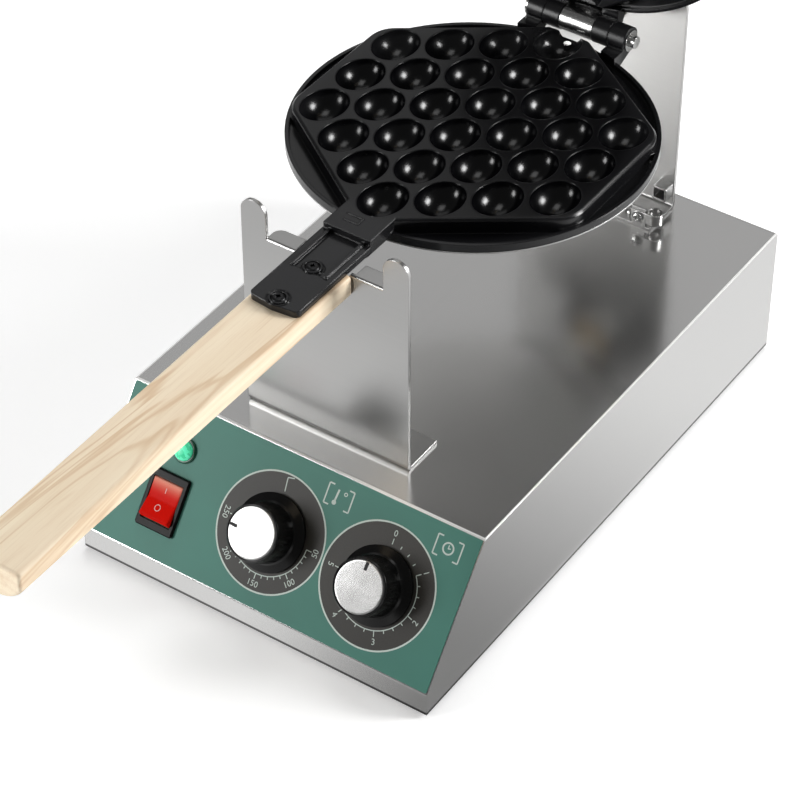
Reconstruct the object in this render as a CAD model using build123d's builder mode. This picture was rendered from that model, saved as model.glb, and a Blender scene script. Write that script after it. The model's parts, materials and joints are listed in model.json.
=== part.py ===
"""Egg waffle iron: two hinged cast moulds that turn over on a stainless base cabinet.

Millimetres, +Z up, +X to the operator's right, the operator stands on the -Y side.
The origin is the point of the worktop under the middle of the base cabinet.
The lower mould lies level and the upper mould stands open, as between two waffles.
"""

from build123d import *

import os
from math import atan2, cos, degrees, hypot, pi, radians, sin, tan

os.makedirs("parts", exist_ok=True)

# ---------------------------------------------------------------- driving dimensions
# Base cabinet, folded from stainless sheet
cabinet_width = 220.0
cabinet_height = 82.0
cabinet_sheet = 1.2
cabinet_bend = 2.0  # outer radius of the folded edges
front_lip = 14.0  # upright strip under the sloping panel
slope_run = 51.7  # how far back the sloping panel leans
return_flange = 12.0  # edges folded in under the cabinet, which carry the bottom plate
rear_margin = 12.6  # cabinet top left behind the rear bracket
bottom_clearance = 0.2  # bottom plate to the cabinet walls
bottom_sheet = 1.2
vent_length = 34.0
vent_width = 4.0
vent_pitch = 9.0
vent_count = 6
rear_vent_height = 50.0  # middle of the rear vents above the worktop

# Feet
foot_height = 2.0
foot_radius = 9.0
foot_inset_x = 20.0
foot_inset_y = 22.0
foot_stem_radius = 3.0
foot_head_radius = 4.6
foot_head_height = 3.0

# Printed panel on the slope
overlay_thickness = 0.5
overlay_side_margin = 2.3
overlay_end_margin = 1.0
overlay_corner = 2.0
dial_offset = 3.7  # thermostat dial, to the left of the middle
dial_height = 41.3  # up the slope from its lower edge
timer_inset = 46.7  # timer dial, from the right side
timer_height = 40.3
switch_inset = 41.2  # from the left side
switch_height = 31.2
lamp_inset = 43.1
lamp_height = 61.0

# Control knobs and what they turn
knob_skirt_radius = 21.0
knob_grip_radius = 16.0
knob_top_radius = 15.3
knob_height = 20.0
knob_lift = 0.6  # running gap under the skirt
knob_flutes = 24
knob_flute_radius = 0.9
cap_radius = 14.4
cap_thickness = 1.2
shaft_radius = 3.0
shaft_flat = 0.6
running_fit = 0.05  # radial play of a turning shaft
bushing_radius = 5.0
bushing_fit = 0.1
nut_width = 14.0  # across flats, on the control bushings
nut_thickness = 2.5
control_body_width = 42.0
thermostat_depth = 26.0
timer_depth = 32.0
shaft_insert = 8.0  # how far a shaft reaches into its body
control_corner = 3.0
blade_width = 6.3  # push-on terminals of the controls and the switch
blade_thickness = 0.8
skirt_edge = 1.2
skirt_height = 3.0
skirt_round = 1.0  # where the grip rises from the skirt
knob_top_edge = 0.6
flute_lift = 1.5  # flutes end above the skirt
cap_edge = 0.5
knob_roof = 2.0  # knob left above the end of the shaft
nut_clearance = 1.0

# Rocker switch
bezel_width = 24.0
bezel_length = 32.4
bezel_thickness = 2.2
bezel_corner = 1.5
bezel_chamfer = 0.7
switch_body_width = 21.0
switch_body_length = 29.0
rocker_width = 18.4
rocker_radius = 11.6
rocker_gap = 0.3
rocker_tilt = 10.0  # half of the rocker's swing, in degrees
rocker_pivot_depth = 1.5
rocker_valley = 3.3  # above the pivot
rocker_belly = 5.0  # below the pivot
rocker_well = 9.0
trunnion_radius = 1.6
trunnion_length = 0.9
switch_body_depth = 22.0
terminal_length = 8.0

# Pilot lamp
lamp_ring_radius = 6.8
lamp_ring_height = 1.6
lamp_barrel_radius = 5.2
lamp_barrel_depth = 18.0
lens_radius = 5.4
lens_seat = 1.0
lens_rise = 3.2

# Moulds
cells_in_columns = (3, 4, 5, 6, 5, 4, 3)
cell_spacing = 23.65  # from column to column
cell_pitch = 33.0  # along a column
cell_radius = 12.3
cell_half_length = 15.3
cell_rise = 0.6  # cell centres above the parting plane
cell_wall = 2.2  # metal left under a cell
land_margin = 17.0  # from an outer cell's centre to the edge of the hexagon
land_corner = 16.5  # radius of its corners
land_gap = 0.15  # each face to the parting plane
land_bevel = 1.3
gutter_gap = 0.35  # least gap between the hexagon and the rim
gutter_depth = 9.0
rim_wall = 2.2
rim_drop = 6.5  # rim top below the parting plane
lug_drop = 3.0  # tops of the hinge lugs' arms below it
floor_depth = 11.0
pad_radius = 11.0
neck_length = 16.3
neck_half_width = 14.2
journal_radius = 16.6
tang_length = 63.6
tang_half_width = 14.6
tang_top_drop = 3.6
tang_thickness = 3.8
tang_corner = 6.0
tang_bow = 1.6
rib_height = 1.0
rib_width = 1.8
rib_offset = 10.2
rib_length = 33.0
tang_recess = 0.9
near_screw_setback = 34.4  # screws from the free end of the tang
far_screw_setback = 5.8
screw_ring_height = 0.7
screw_ring_wall = 1.1

# Heater and cover under each mould
heater_diameter = 4.6
heater_bend = 11.0
heater_side = 56.0
heater_front = 62.0
heater_shoulder = 34.0
heater_tail_gap = 12.0
heater_tail = 68.0
terminal_stud_radius = 1.2
terminal_stud_length = 5.0
cover_sheet = 0.8
cover_air_gap = 0.5
cover_flange = 9.6
cover_slope = 13.5
cover_bend = 3.0
cover_fit = 0.5  # cover edge to the neck and the hinge lugs
cover_screw_inset = 5.0
cover_screw_radius = 2.0
cover_screw_head = 3.4
cover_screw_length = 6.0

# Wooden handles
handle_length = 253.0
handle_root_width = 34.0
handle_tip_width = 32.0
handle_side = 11.0
handle_depth = 20.0
handle_edge = 2.2
handle_tip_edge = 1.8
handle_gap = 1.1  # to the front bracket
handle_screw_radius = 2.0
handle_screw_head = 3.9
handle_screw_bite = 12.0

# Hinge and turning journal
hinge_gap = 8.8  # from the rim to the hinge pin
pin_radius = 3.5
pin_head_radius = 6.0
pin_head = 2.4
clip_thickness = 1.0
clip_setback = 1.4
knuckle_radius = 7.5
block_half_width = 10.0
block_half_height = 7.2
lug_width = 10.0
lug_gap = 0.3
lug_arm_height = 8.0
block_gap = 0.5  # block to the bush flange
turning_radius = 7.0
turning_bore = 2.6
bush_radius = 10.0
bush_flange_radius = 13.0
bush_flange = 2.5
bush_nut_width = 26.0
bush_nut = 4.5
bush_end = 1.5
collar_radius = 11.5
collar_length = 6.0
collar_gap = 0.3
turning_end = 2.4
set_screw_radius = 1.5
set_screw_sink = 0.5  # below the collar's surface
socket_radius = 0.8
socket_depth = 1.0
lid_open_angle = 95.0

# Brackets
axis_height = 121.0  # turning axis above the cabinet top
bracket_sheet = 2.0
bracket_half_width = 50.4
bracket_bend = 3.2  # outer bend radius
front_setback = 19.4  # front bracket behind the top of the slope
front_foot = 26.4
ear_width = 15.1
ear_rise = 13.0  # ear tops above the turning axis
notch_drop = 7.6  # notch ledges below the turning axis
ledge_depth = 10.5
ledge_inner = 18.0
ledge_corner = 5.0
cradle_gap = 0.8  # cradle to the neck journal's radius
cradle_clearance = 9.2  # ledges to the neck
rear_setback = 24.9  # rear bracket behind the hinge pin
rear_foot = 25.4
rear_rise = 20.0
rear_corner = 8.0
bracket_screw_radius = 2.5
bracket_screw_head = 4.4
bracket_screw_inset = 9.0
bracket_screw_x = 25.0
rear_screw_x = 34.0
bracket_nut_width = 8.0
bracket_nut = 3.6

# Fittings at the foot of the rear bracket
guide_width = 9.0
guide_wall = 1.2
guide_length = 8.0
guide_side_margin = 0.4
guide_height = 18.0
tab_width = 9.0
tab_height = 14.0
tab_side_margin = 3.0
clip_radius = 4.4
clip_sheet = 0.8
clip_width = 7.0
clip_screw_radius = 1.6
clip_screw_head = 3.2
clip_screw_height = 8.5

# Cabinet fittings
grommet_radius = 8.0
grommet_bore = 4.5
grommet_flange = 2.5
grommet_lip = 2.0  # flange beyond the hole
grommet_edge = 1.0
grommet_setback = 22.0
gland_radius = 7.0
gland_bore = 4.0
gland_flange_radius = 11.0
gland_inset = 48.0  # from the left side
gland_height = 30.0
gland_projection = 12.0
gland_collar = 3.0  # straight part of the flange outside the cabinet
gland_lip = 2.0  # wall of the gland at its mouth
gland_tail = 2.0  # gland beyond its nut
gland_nut = 4.0
block_poles = 3
pole_pitch = 10.0
pole_depth = 18.0
pole_height = 14.0
pole_bore = 2.1
pole_screw = 1.7
sheet_screw_radius = 1.5
sheet_screw_head = 3.0
sheet_screw_length = 6.0
sheet_screw_head_height = 1.4
screw_fit = 0.05  # radial play round a screw in a drilled or tapped hole
screw_end = 1.0  # screw beyond its nut

# Shape of every pan-head screw, as shares of its head
shoulder_share = 0.45  # straight part of the head's height
crown_share = 0.35  # flat part of the head's radius
brow_radius = 0.8
brow_height = 0.86
recess_share = 0.55  # reach of the cross recess over the head's radius
recess_slot = 0.3  # width of its arms
recess_depth = 0.5

# ---------------------------------------------------------------- derived places
rise = cabinet_height - front_lip
slope_angle = atan2(rise, slope_run)
slope_length = hypot(rise, slope_run)
top_z = foot_height + cabinet_height
axis_z = top_z + axis_height

columns = len(cells_in_columns)
cell_places = [
    ((i - (columns - 1) / 2) * cell_spacing, (j - (n - 1) / 2) * cell_pitch)
    for i, n in enumerate(cells_in_columns)
    for j in range(n)
]
side_x = (columns - 1) / 2 * cell_spacing
side_y = (cells_in_columns[0] - 1) / 2 * cell_pitch
tip_y = (max(cells_in_columns) - 1) / 2 * cell_pitch
hexagon = [
    (-side_x, -side_y),
    (-side_x, side_y),
    (0, tip_y),
    (side_x, side_y),
    (side_x, -side_y),
    (0, -tip_y),
]
slant = atan2(tip_y - side_y, side_x)
side_corner = (pi / 2 + slant) / 2  # half of the angle inside a side corner
corner_reach = (
    hypot(side_x, side_y) + (land_margin - land_corner) / sin(side_corner) + land_corner
)
rim_inner = corner_reach + gutter_gap
rim_outer = rim_inner + rim_wall
block_back = cell_radius - cell_rise + cell_wall
cover_inside = block_back + heater_diameter + cover_air_gap
half_thickness = cover_inside + cover_sheet
pad_reach = rim_inner + rim_wall / 2 - pad_radius
cover_screw_reach = rim_outer - cover_screw_inset
cover_shoulder = rim_outer - cover_flange
cover_flat = cover_shoulder - cover_slope
side_angle = degrees(atan2(side_y, side_x))
corner_angles = (side_angle, 90, 180 - side_angle, 180 + side_angle, 270, 360 - side_angle)

hinge_reach = rim_outer + hinge_gap
neck_face = rim_outer + neck_length
tang_end = neck_face + tang_length
tang_bottom = tang_top_drop + tang_thickness
handle_start = neck_face + cradle_clearance + ledge_depth + handle_gap
handle_end = handle_start + handle_length
handle_screw_places = (tang_end - near_screw_setback, tang_end - far_screw_setback)
lid_lug = block_half_width + lug_gap
pan_lug = lid_lug + lug_width + lug_gap
pin_half_span = pan_lug + lug_width
cradle_radius = journal_radius + cradle_gap

# Stations along the cabinet, counted from its front edge
front_face = slope_run + front_setback
plate_station = front_face + ledge_depth + cradle_clearance + neck_length + rim_outer
pin_station = plate_station + hinge_reach
rear_face = pin_station + rear_setback
cabinet_depth = rear_face + bracket_sheet + rear_margin
cabinet_front = -cabinet_depth / 2
cabinet_rear = cabinet_depth / 2
plate_y = cabinet_front + plate_station
pin_y = cabinet_front + pin_station
front_bracket_y = cabinet_front + front_face
rear_bracket_y = cabinet_front + rear_face

half_width = cabinet_width / 2
dial_x = -dial_offset
timer_x = half_width - timer_inset
switch_x = switch_inset - half_width
lamp_x = lamp_inset - half_width
gland_x = gland_inset - half_width
ledge_outer = bracket_half_width - ear_width
ledge_z = axis_z - notch_drop
front_screw_y = front_bracket_y + front_foot - bracket_screw_inset
rear_foot_y = rear_bracket_y - rear_foot
rear_screw_y = rear_foot_y + bracket_screw_inset
foot_places = [
    (x * (half_width - foot_inset_x), y * (cabinet_depth / 2 - foot_inset_y))
    for x in (-1, 1)
    for y in (-1, 1)
]
plate_screw_x = half_width - cabinet_sheet - return_flange / 2
plate_screw_places = [
    (x * plate_screw_x, y * cabinet_depth / 4) for x in (-1, 1) for y in (-1, 0, 1)
]
grommet_y = pin_y - grommet_setback
inner_floor = foot_height + bottom_sheet

turning_axis = Axis((0, 0, axis_z), (0, 1, 0))
panel = Plane(
    origin=(0, cabinet_front, foot_height + front_lip),
    x_dir=(1, 0, 0),
    z_dir=(0, -sin(slope_angle), cos(slope_angle)),
)
panel_normal = Axis(panel.origin, panel.z_dir)
knob_base = overlay_thickness + knob_lift
knob_top = overlay_thickness + knob_height
knob_floor = overlay_thickness + nut_thickness + nut_clearance
knob_bore_top = knob_top - cap_thickness - knob_roof
knob_cavity_radius = nut_width / 2 / cos(radians(30)) + nut_clearance
bezel_top = overlay_thickness + bezel_thickness
rocker_lift = overlay_thickness - rocker_pivot_depth
guide_x = bracket_half_width - guide_side_margin - guide_width / 2
guide_z = top_z + guide_height - guide_width / 2
tab_x = bracket_half_width - tab_side_margin - tab_width / 2
clip_screw_z = top_z + clip_screw_height
block_reach = rear_setback - bush_flange - block_gap
pin_play = {pan_lug: 0.0, lid_lug: running_fit}
lower_place = Location((0, plate_y, axis_z))
upper_place = Location((0, pin_y, axis_z), (-lid_open_angle, 0, 0)) * Location((0, -hinge_reach, 0))


def panel_at(x, height, lift=0.0):
    """Plane parallel to the sloping panel, at x and a height up the slope."""
    origin = panel.from_local_coords(Vector(x, height, lift))
    return Plane(origin=origin, x_dir=panel.x_dir, z_dir=panel.z_dir)


def rocker_plane(tilt):
    """Cross-section plane of the rocker at its pivot, tilted about the pivot in degrees."""
    return Plane(
        origin=panel.from_local_coords(Vector(switch_x, switch_height, rocker_lift)),
        x_dir=panel.y_dir.rotate(Axis.X, tilt),
        z_dir=(1, 0, 0),
    )


def dome_point(radius, height):
    """Middle point of the arc from a dome's edge at (radius, 0) to its top at (0, height)."""
    sphere = (radius**2 + height**2) / (2 * height)
    half = atan2(height, radius)
    return sphere * sin(half), height - sphere * (1 - cos(half))


def place_half(piece, side):
    """Put a piece of a mould half, drawn as the lower one, where that half is."""
    if side == "lower":
        return piece.moved(lower_place)
    return piece.mirror(Plane.XY).moved(upper_place)


def pan_screw(head_radius, head_height, radius, length):
    """Cross-recessed pan-head screw, its head on the XY plane and its shank below it."""
    shoulder = head_height * shoulder_share
    crown = head_radius * crown_share
    with BuildPart() as screw:
        with BuildSketch(Plane.XZ):
            with BuildLine():
                Polyline((crown, head_height), (0, head_height), (0, -length))
                Polyline((0, -length), (radius, -length), (radius, 0), (head_radius, 0))
                Line((head_radius, 0), (head_radius, shoulder))
                ThreePointArc(
                    (head_radius, shoulder),
                    (head_radius * brow_radius, head_height * brow_height),
                    (crown, head_height),
                )
            make_face()
        revolve(axis=Axis.Z)
        with BuildSketch(Plane.XY.offset(head_height)):
            for turn in (0, 90):
                Rectangle(
                    2 * recess_share * head_radius, recess_slot * head_radius, rotation=turn
                )
        extrude(amount=-recess_depth * head_height, mode=Mode.SUBTRACT)
    return screw.part


def turned(stations, axis_plane, axis):
    """Part turned about an axis: stations are (along, radius) points of its half section."""
    with BuildPart() as body:
        with BuildSketch(axis_plane):
            with BuildLine():
                Polyline(*stations, close=True)
            make_face()
        revolve(axis=axis)
    return body.part


def control_openings(lift):
    """Openings for the knobs, the lamp and the switch, drawn at a lift off the panel."""
    with BuildSketch(panel_at(0, 0, lift)) as openings:
        with Locations((dial_x, dial_height), (timer_x, timer_height)):
            Circle(bushing_radius + bushing_fit)
        with Locations((lamp_x, lamp_height)):
            Circle(lamp_barrel_radius + bushing_fit)
        with Locations((switch_x, switch_height)):
            Rectangle(switch_body_width, switch_body_length)
    return openings.sketch


# ---------------------------------------------------------------- base cabinet
cabinet_profile = [
    (cabinet_front, foot_height),
    (cabinet_front, foot_height + front_lip),
    (cabinet_front + slope_run, top_z),
    (cabinet_rear, top_z),
    (cabinet_rear, foot_height),
]

with BuildPart() as base_casing:
    with BuildSketch(Plane.YZ):
        with BuildLine():
            Polyline(*cabinet_profile, close=True)
        make_face()
    extrude(amount=half_width, both=True)
    folds = base_casing.edges().filter_by(Axis.X).filter_by(lambda e: e.center().Z > inner_floor)
    fillet(folds, radius=cabinet_bend)
    with BuildSketch(Plane.YZ):
        with BuildLine():
            Polyline(*cabinet_profile, close=True)
        make_face()
        offset(amount=-cabinet_sheet, kind=Kind.INTERSECTION)
    extrude(amount=half_width - cabinet_sheet, both=True, mode=Mode.SUBTRACT)
    # Open mouth underneath, then the edges folded in along both sides
    with BuildSketch(Plane.XY):
        Rectangle(cabinet_width - 2 * cabinet_sheet, cabinet_depth - 2 * cabinet_sheet)
    extrude(amount=inner_floor, mode=Mode.SUBTRACT)
    with BuildSketch(Plane.XY.offset(inner_floor)):
        with Locations((plate_screw_x, 0), (-plate_screw_x, 0)):
            Rectangle(return_flange, cabinet_depth - 2 * cabinet_sheet)
    extrude(amount=cabinet_sheet)
    with BuildSketch(Plane.XY):
        with Locations(*plate_screw_places):
            Circle(sheet_screw_radius)
    extrude(amount=inner_floor + cabinet_sheet, mode=Mode.SUBTRACT)
    # Holes in the top for the brackets and the heater leads
    with BuildSketch(Plane.XY.offset(top_z)):
        with Locations(*[(x * bracket_screw_x, front_screw_y) for x in (-1, 1)]):
            Circle(bracket_screw_radius)
        with Locations(*[(x * rear_screw_x, rear_screw_y) for x in (-1, 1)]):
            Circle(bracket_screw_radius)
        with Locations((0, grommet_y)):
            Circle(grommet_radius)
    extrude(amount=-cabinet_sheet, mode=Mode.SUBTRACT)
    extrude(control_openings(0.0), amount=-cabinet_sheet, mode=Mode.SUBTRACT)
    # Vents and the cord entry in the back
    with BuildSketch(Plane.XZ.offset(-cabinet_rear)):
        with Locations((0, rear_vent_height)):
            with GridLocations(vent_pitch, 1, 2 * vent_count, 1):
                SlotOverall(vent_length, vent_width, rotation=90)
        with Locations((gland_x, gland_height)):
            Circle(gland_radius)
    extrude(amount=cabinet_sheet, mode=Mode.SUBTRACT)
base_casing.part.label = "base_casing"
export_step(base_casing.part, "parts/base_casing.step")

with BuildPart() as bottom_plate:
    with BuildSketch(Plane.XY.offset(foot_height)):
        Rectangle(
            cabinet_width - 2 * (cabinet_sheet + bottom_clearance),
            cabinet_depth - 2 * (cabinet_sheet + bottom_clearance),
        )
        with Locations(*foot_places):
            Circle(foot_stem_radius, mode=Mode.SUBTRACT)
        with Locations(*plate_screw_places):
            Circle(sheet_screw_radius, mode=Mode.SUBTRACT)
        with Locations((-half_width / 2, 0), (half_width / 2, 0)):
            with GridLocations(1, vent_pitch, 1, vent_count):
                SlotOverall(vent_length, vent_width, mode=Mode.SUBTRACT)
    extrude(amount=bottom_sheet)
bottom_plate.part.label = "bottom_plate"
export_step(bottom_plate.part, "parts/bottom_plate.step")

foot = turned(
    [
        (0, 0),
        (foot_radius, 0),
        (foot_radius, foot_height),
        (foot_stem_radius, foot_height),
        (foot_stem_radius, inner_floor),
        (foot_head_radius, inner_floor),
        (foot_stem_radius, inner_floor + foot_head_height),
        (0, inner_floor + foot_head_height),
    ],
    Plane.XZ,
    Axis.Z,
)
with BuildPart() as rubber_feet:
    with Locations(*foot_places):
        add(foot)
rubber_feet.part.label = "rubber_feet"
export_step(rubber_feet.part, "parts/rubber_feet.step")

plate_screw = pan_screw(
    sheet_screw_head, sheet_screw_head_height, sheet_screw_radius, sheet_screw_length
)
with BuildPart() as bottom_screws:
    with Locations(*[Location((x, y, foot_height), (180, 0, 0)) for x, y in plate_screw_places]):
        add(plate_screw)
bottom_screws.part.label = "bottom_screws"
export_step(bottom_screws.part, "parts/bottom_screws.step")

with BuildPart() as cord_gland:
    gland_axis = Axis((gland_x, 0, gland_height), (0, 1, 0))
    gland_end = cabinet_rear - cabinet_sheet - gland_nut - gland_tail
    with BuildSketch(Plane.YZ.offset(gland_x)):
        with BuildLine():
            Polyline(
                (gland_end, gland_height + gland_bore),
                (gland_end, gland_height + gland_radius),
                (cabinet_rear, gland_height + gland_radius),
                (cabinet_rear, gland_height + gland_flange_radius),
                (cabinet_rear + gland_collar, gland_height + gland_flange_radius),
                (cabinet_rear + gland_projection, gland_height + gland_bore + gland_lip),
                (cabinet_rear + gland_projection, gland_height + gland_bore),
                close=True,
            )
        make_face()
    revolve(axis=gland_axis)
cord_gland.part.label = "cord_gland"
export_step(cord_gland.part, "parts/cord_gland.step")

with BuildPart() as gland_locknut:
    with BuildSketch(Plane.XZ.offset(cabinet_sheet - cabinet_rear)):
        with Locations((gland_x, gland_height)):
            RegularPolygon(gland_flange_radius, 6, major_radius=False)
            Circle(gland_radius, mode=Mode.SUBTRACT)
    extrude(amount=gland_nut)
gland_locknut.part.label = "gland_locknut"
export_step(gland_locknut.part, "parts/gland_locknut.step")

with BuildPart() as lead_grommet:
    grommet_outer = grommet_y + grommet_radius + grommet_lip
    with BuildSketch(Plane.YZ):
        with BuildLine():
            Polyline(
                (grommet_y + grommet_bore, top_z - cabinet_sheet - grommet_flange),
                (grommet_outer, top_z - cabinet_sheet - grommet_flange),
                (grommet_outer, top_z - cabinet_sheet),
                (grommet_y + grommet_radius, top_z - cabinet_sheet),
                (grommet_y + grommet_radius, top_z),
                (grommet_outer, top_z),
                (grommet_outer - grommet_edge, top_z + grommet_flange),
                (grommet_y + grommet_bore, top_z + grommet_flange),
                close=True,
            )
        make_face()
    revolve(axis=Axis((0, grommet_y, 0), (0, 0, 1)))
lead_grommet.part.label = "lead_grommet"
export_step(lead_grommet.part, "parts/lead_grommet.step")

with BuildPart() as terminal_block:
    with BuildSketch(Plane.XY.offset(inner_floor)):
        with Locations((gland_x, cabinet_rear - cabinet_depth / 5)):
            with GridLocations(pole_pitch, 1, block_poles, 1):
                Rectangle(pole_pitch, pole_depth)
    extrude(amount=pole_height)
    with BuildSketch(terminal_block.faces().sort_by(Axis.Y)[0]):
        with GridLocations(pole_pitch, 1, block_poles, 1):
            Circle(pole_bore)
    extrude(amount=-pole_depth, mode=Mode.SUBTRACT)
    with BuildSketch(terminal_block.faces().sort_by(Axis.Z)[-1]):
        with GridLocations(pole_pitch, pole_depth / 2, block_poles, 2):
            Circle(pole_screw)
    extrude(amount=-pole_height / 2, mode=Mode.SUBTRACT)
terminal_block.part.label = "terminal_block"
export_step(terminal_block.part, "parts/terminal_block.step")

# ---------------------------------------------------------------- sloping control panel
with BuildPart() as panel_overlay:
    with BuildSketch(panel_at(0, slope_length / 2)):
        RectangleRounded(
            cabinet_width - 2 * overlay_side_margin,
            slope_length - 2 * overlay_end_margin,
            overlay_corner,
        )
    extrude(amount=overlay_thickness)
    extrude(control_openings(overlay_thickness), amount=-overlay_thickness, mode=Mode.SUBTRACT)
panel_overlay.part.label = "panel_overlay"
export_step(panel_overlay.part, "parts/panel_overlay.step")


def control_body(x, height, depth):
    """Box behind the panel with a threaded bushing that comes through it."""
    with BuildPart() as body:
        with BuildSketch(panel_at(x, height, -cabinet_sheet)):
            RectangleRounded(control_body_width, control_body_width, control_corner)
        extrude(amount=-depth)
        with BuildSketch(panel_at(x, height, -cabinet_sheet)):
            Circle(bushing_radius)
        extrude(amount=cabinet_sheet + overlay_thickness + nut_thickness)
        with BuildSketch(panel_at(x, height, overlay_thickness + nut_thickness)):
            Circle(shaft_radius + running_fit)
        extrude(
            amount=-(overlay_thickness + nut_thickness + cabinet_sheet + shaft_insert),
            mode=Mode.SUBTRACT,
        )
        # Blade terminals on the back
        with BuildSketch(panel_at(x, height, -cabinet_sheet - depth)):
            with GridLocations(control_body_width / 3, 1, 3, 1):
                Rectangle(blade_thickness, blade_width)
        extrude(amount=-terminal_length)
    return body.part


def d_shaft(x, height):
    """Flatted shaft from inside a control body up into its knob."""
    foot_lift = -cabinet_sheet - shaft_insert + rocker_gap
    with BuildPart() as shaft:
        with BuildSketch(panel_at(x, height, foot_lift)):
            Circle(shaft_radius)
        extrude(amount=knob_bore_top - foot_lift)
        with BuildSketch(panel_at(x, height, knob_bore_top)):
            with Locations((0, shaft_radius)):
                Rectangle(2 * shaft_radius, 2 * shaft_flat)
        extrude(amount=knob_floor - knob_bore_top, mode=Mode.SUBTRACT)
    return shaft.part


def knob(x, height, shaft):
    """Fluted knob with a skirt, hollow below over the nut, with a seat for its cap."""
    with BuildPart() as body:
        with BuildSketch(Plane.XZ):
            with BuildLine():
                Polyline(
                    (0, knob_top - cap_thickness),
                    (0, knob_floor),
                    (knob_cavity_radius, knob_floor),
                    (knob_cavity_radius, knob_base),
                    (knob_skirt_radius, knob_base),
                    (knob_skirt_radius, knob_base + skirt_edge),
                )
                Line(
                    (knob_skirt_radius, knob_base + skirt_edge),
                    (knob_grip_radius + skirt_round, knob_base + skirt_height),
                )
                Polyline(
                    (knob_grip_radius + skirt_round, knob_base + skirt_height),
                    (knob_grip_radius, knob_base + skirt_height + skirt_round),
                    (knob_top_radius, knob_top - knob_top_edge),
                    (knob_top_radius - knob_top_edge, knob_top),
                    (cap_radius, knob_top),
                    (cap_radius, knob_top - cap_thickness),
                    (0, knob_top - cap_thickness),
                )
            make_face()
        revolve(axis=Axis.Z)
        with BuildSketch(Plane.XY.offset(knob_top)):
            with PolarLocations(knob_grip_radius + knob_flute_radius / 3, knob_flutes):
                Circle(knob_flute_radius)
        extrude(amount=knob_base + skirt_height + flute_lift - knob_top, mode=Mode.SUBTRACT)
    seat = panel_at(x, height)
    return body.part.moved(seat.location) - shaft


with BuildPart() as thermostat_body:
    add(control_body(dial_x, dial_height, thermostat_depth))
thermostat_body.part.label = "thermostat_body"
export_step(thermostat_body.part, "parts/thermostat_body.step")

with BuildPart() as timer_body:
    add(control_body(timer_x, timer_height, timer_depth))
timer_body.part.label = "timer_body"
export_step(timer_body.part, "parts/timer_body.step")

with BuildPart() as control_nuts:
    with BuildSketch(panel_at(0, 0, overlay_thickness)):
        with Locations((dial_x, dial_height), (timer_x, timer_height)):
            RegularPolygon(nut_width / 2, 6, major_radius=False)
            Circle(bushing_radius, mode=Mode.SUBTRACT)
    extrude(amount=nut_thickness)
control_nuts.part.label = "control_nuts"
export_step(control_nuts.part, "parts/control_nuts.step")

for name, x, height in (
    ("thermostat", dial_x, dial_height),
    ("timer", timer_x, timer_height),
):
    shaft = d_shaft(x, height)
    shaft.label = f"{name}_shaft"
    export_step(shaft, f"parts/{name}_shaft.step")

    body = knob(x, height, shaft)
    body.label = f"{name}_knob"
    export_step(body, f"parts/{name}_knob.step")

    with BuildPart() as cap:
        with BuildSketch(panel_at(x, height, knob_top - cap_thickness)):
            Circle(cap_radius)
        extrude(amount=cap_thickness)
        fillet(cap.faces().sort_by(panel_normal)[-1].edges(), radius=cap_edge)
    cap.part.label = f"{name}_cap"
    export_step(cap.part, f"parts/{name}_cap.step")

with BuildPart() as switch_housing:
    with BuildSketch(panel_at(switch_x, switch_height, overlay_thickness)):
        RectangleRounded(bezel_width, bezel_length, bezel_corner)
    extrude(amount=bezel_thickness)
    chamfer(switch_housing.faces().sort_by(panel_normal)[-1].edges(), length=bezel_chamfer)
    with BuildSketch(panel_at(switch_x, switch_height, overlay_thickness)):
        Rectangle(switch_body_width - 2 * bushing_fit, switch_body_length - 2 * bushing_fit)
    extrude(amount=-switch_body_depth)
    with BuildSketch(panel_at(switch_x, switch_height, bezel_top)):
        Rectangle(rocker_width + 2 * rocker_gap, 2 * (rocker_radius + rocker_gap))
    extrude(amount=-(bezel_top - rocker_lift + rocker_well), mode=Mode.SUBTRACT)
    with BuildSketch(rocker_plane(0)):
        Circle(trunnion_radius + running_fit)
    extrude(
        amount=rocker_width / 2 + rocker_gap + trunnion_length, both=True, mode=Mode.SUBTRACT
    )
    with BuildSketch(panel_at(switch_x, switch_height, overlay_thickness - switch_body_depth)):
        with GridLocations(1, switch_body_length / 3, 1, 3):
            Rectangle(blade_width, blade_thickness)
    extrude(amount=-terminal_length)
switch_housing.part.label = "switch_housing"
export_step(switch_housing.part, "parts/switch_housing.step")

with BuildPart() as power_rocker:
    # Two faces meeting in a shallow valley, on ends that are round about the pivot
    with BuildSketch(rocker_plane(-rocker_tilt)):
        Circle(rocker_radius)
        with BuildLine():
            Polyline(
                (0, rocker_valley),
                (rocker_radius, rocker_valley + rocker_radius * tan(radians(rocker_tilt))),
                (rocker_radius, -rocker_belly),
                (-rocker_radius, -rocker_belly),
                (-rocker_radius, rocker_valley + rocker_radius * tan(radians(rocker_tilt))),
                close=True,
            )
        make_face(mode=Mode.INTERSECT)
    extrude(amount=rocker_width / 2, both=True)
    with BuildSketch(rocker_plane(0)):
        Circle(trunnion_radius)
    extrude(amount=rocker_width / 2 + trunnion_length, both=True)
power_rocker.part.label = "power_rocker"
export_step(power_rocker.part, "parts/power_rocker.step")

lamp_plane = panel_at(lamp_x, lamp_height, overlay_thickness)
lamp_half_section = Plane(
    origin=lamp_plane.origin, x_dir=lamp_plane.x_dir, z_dir=-lamp_plane.y_dir
)
lamp_axis = Axis(lamp_plane.origin, lamp_plane.z_dir)

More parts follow.
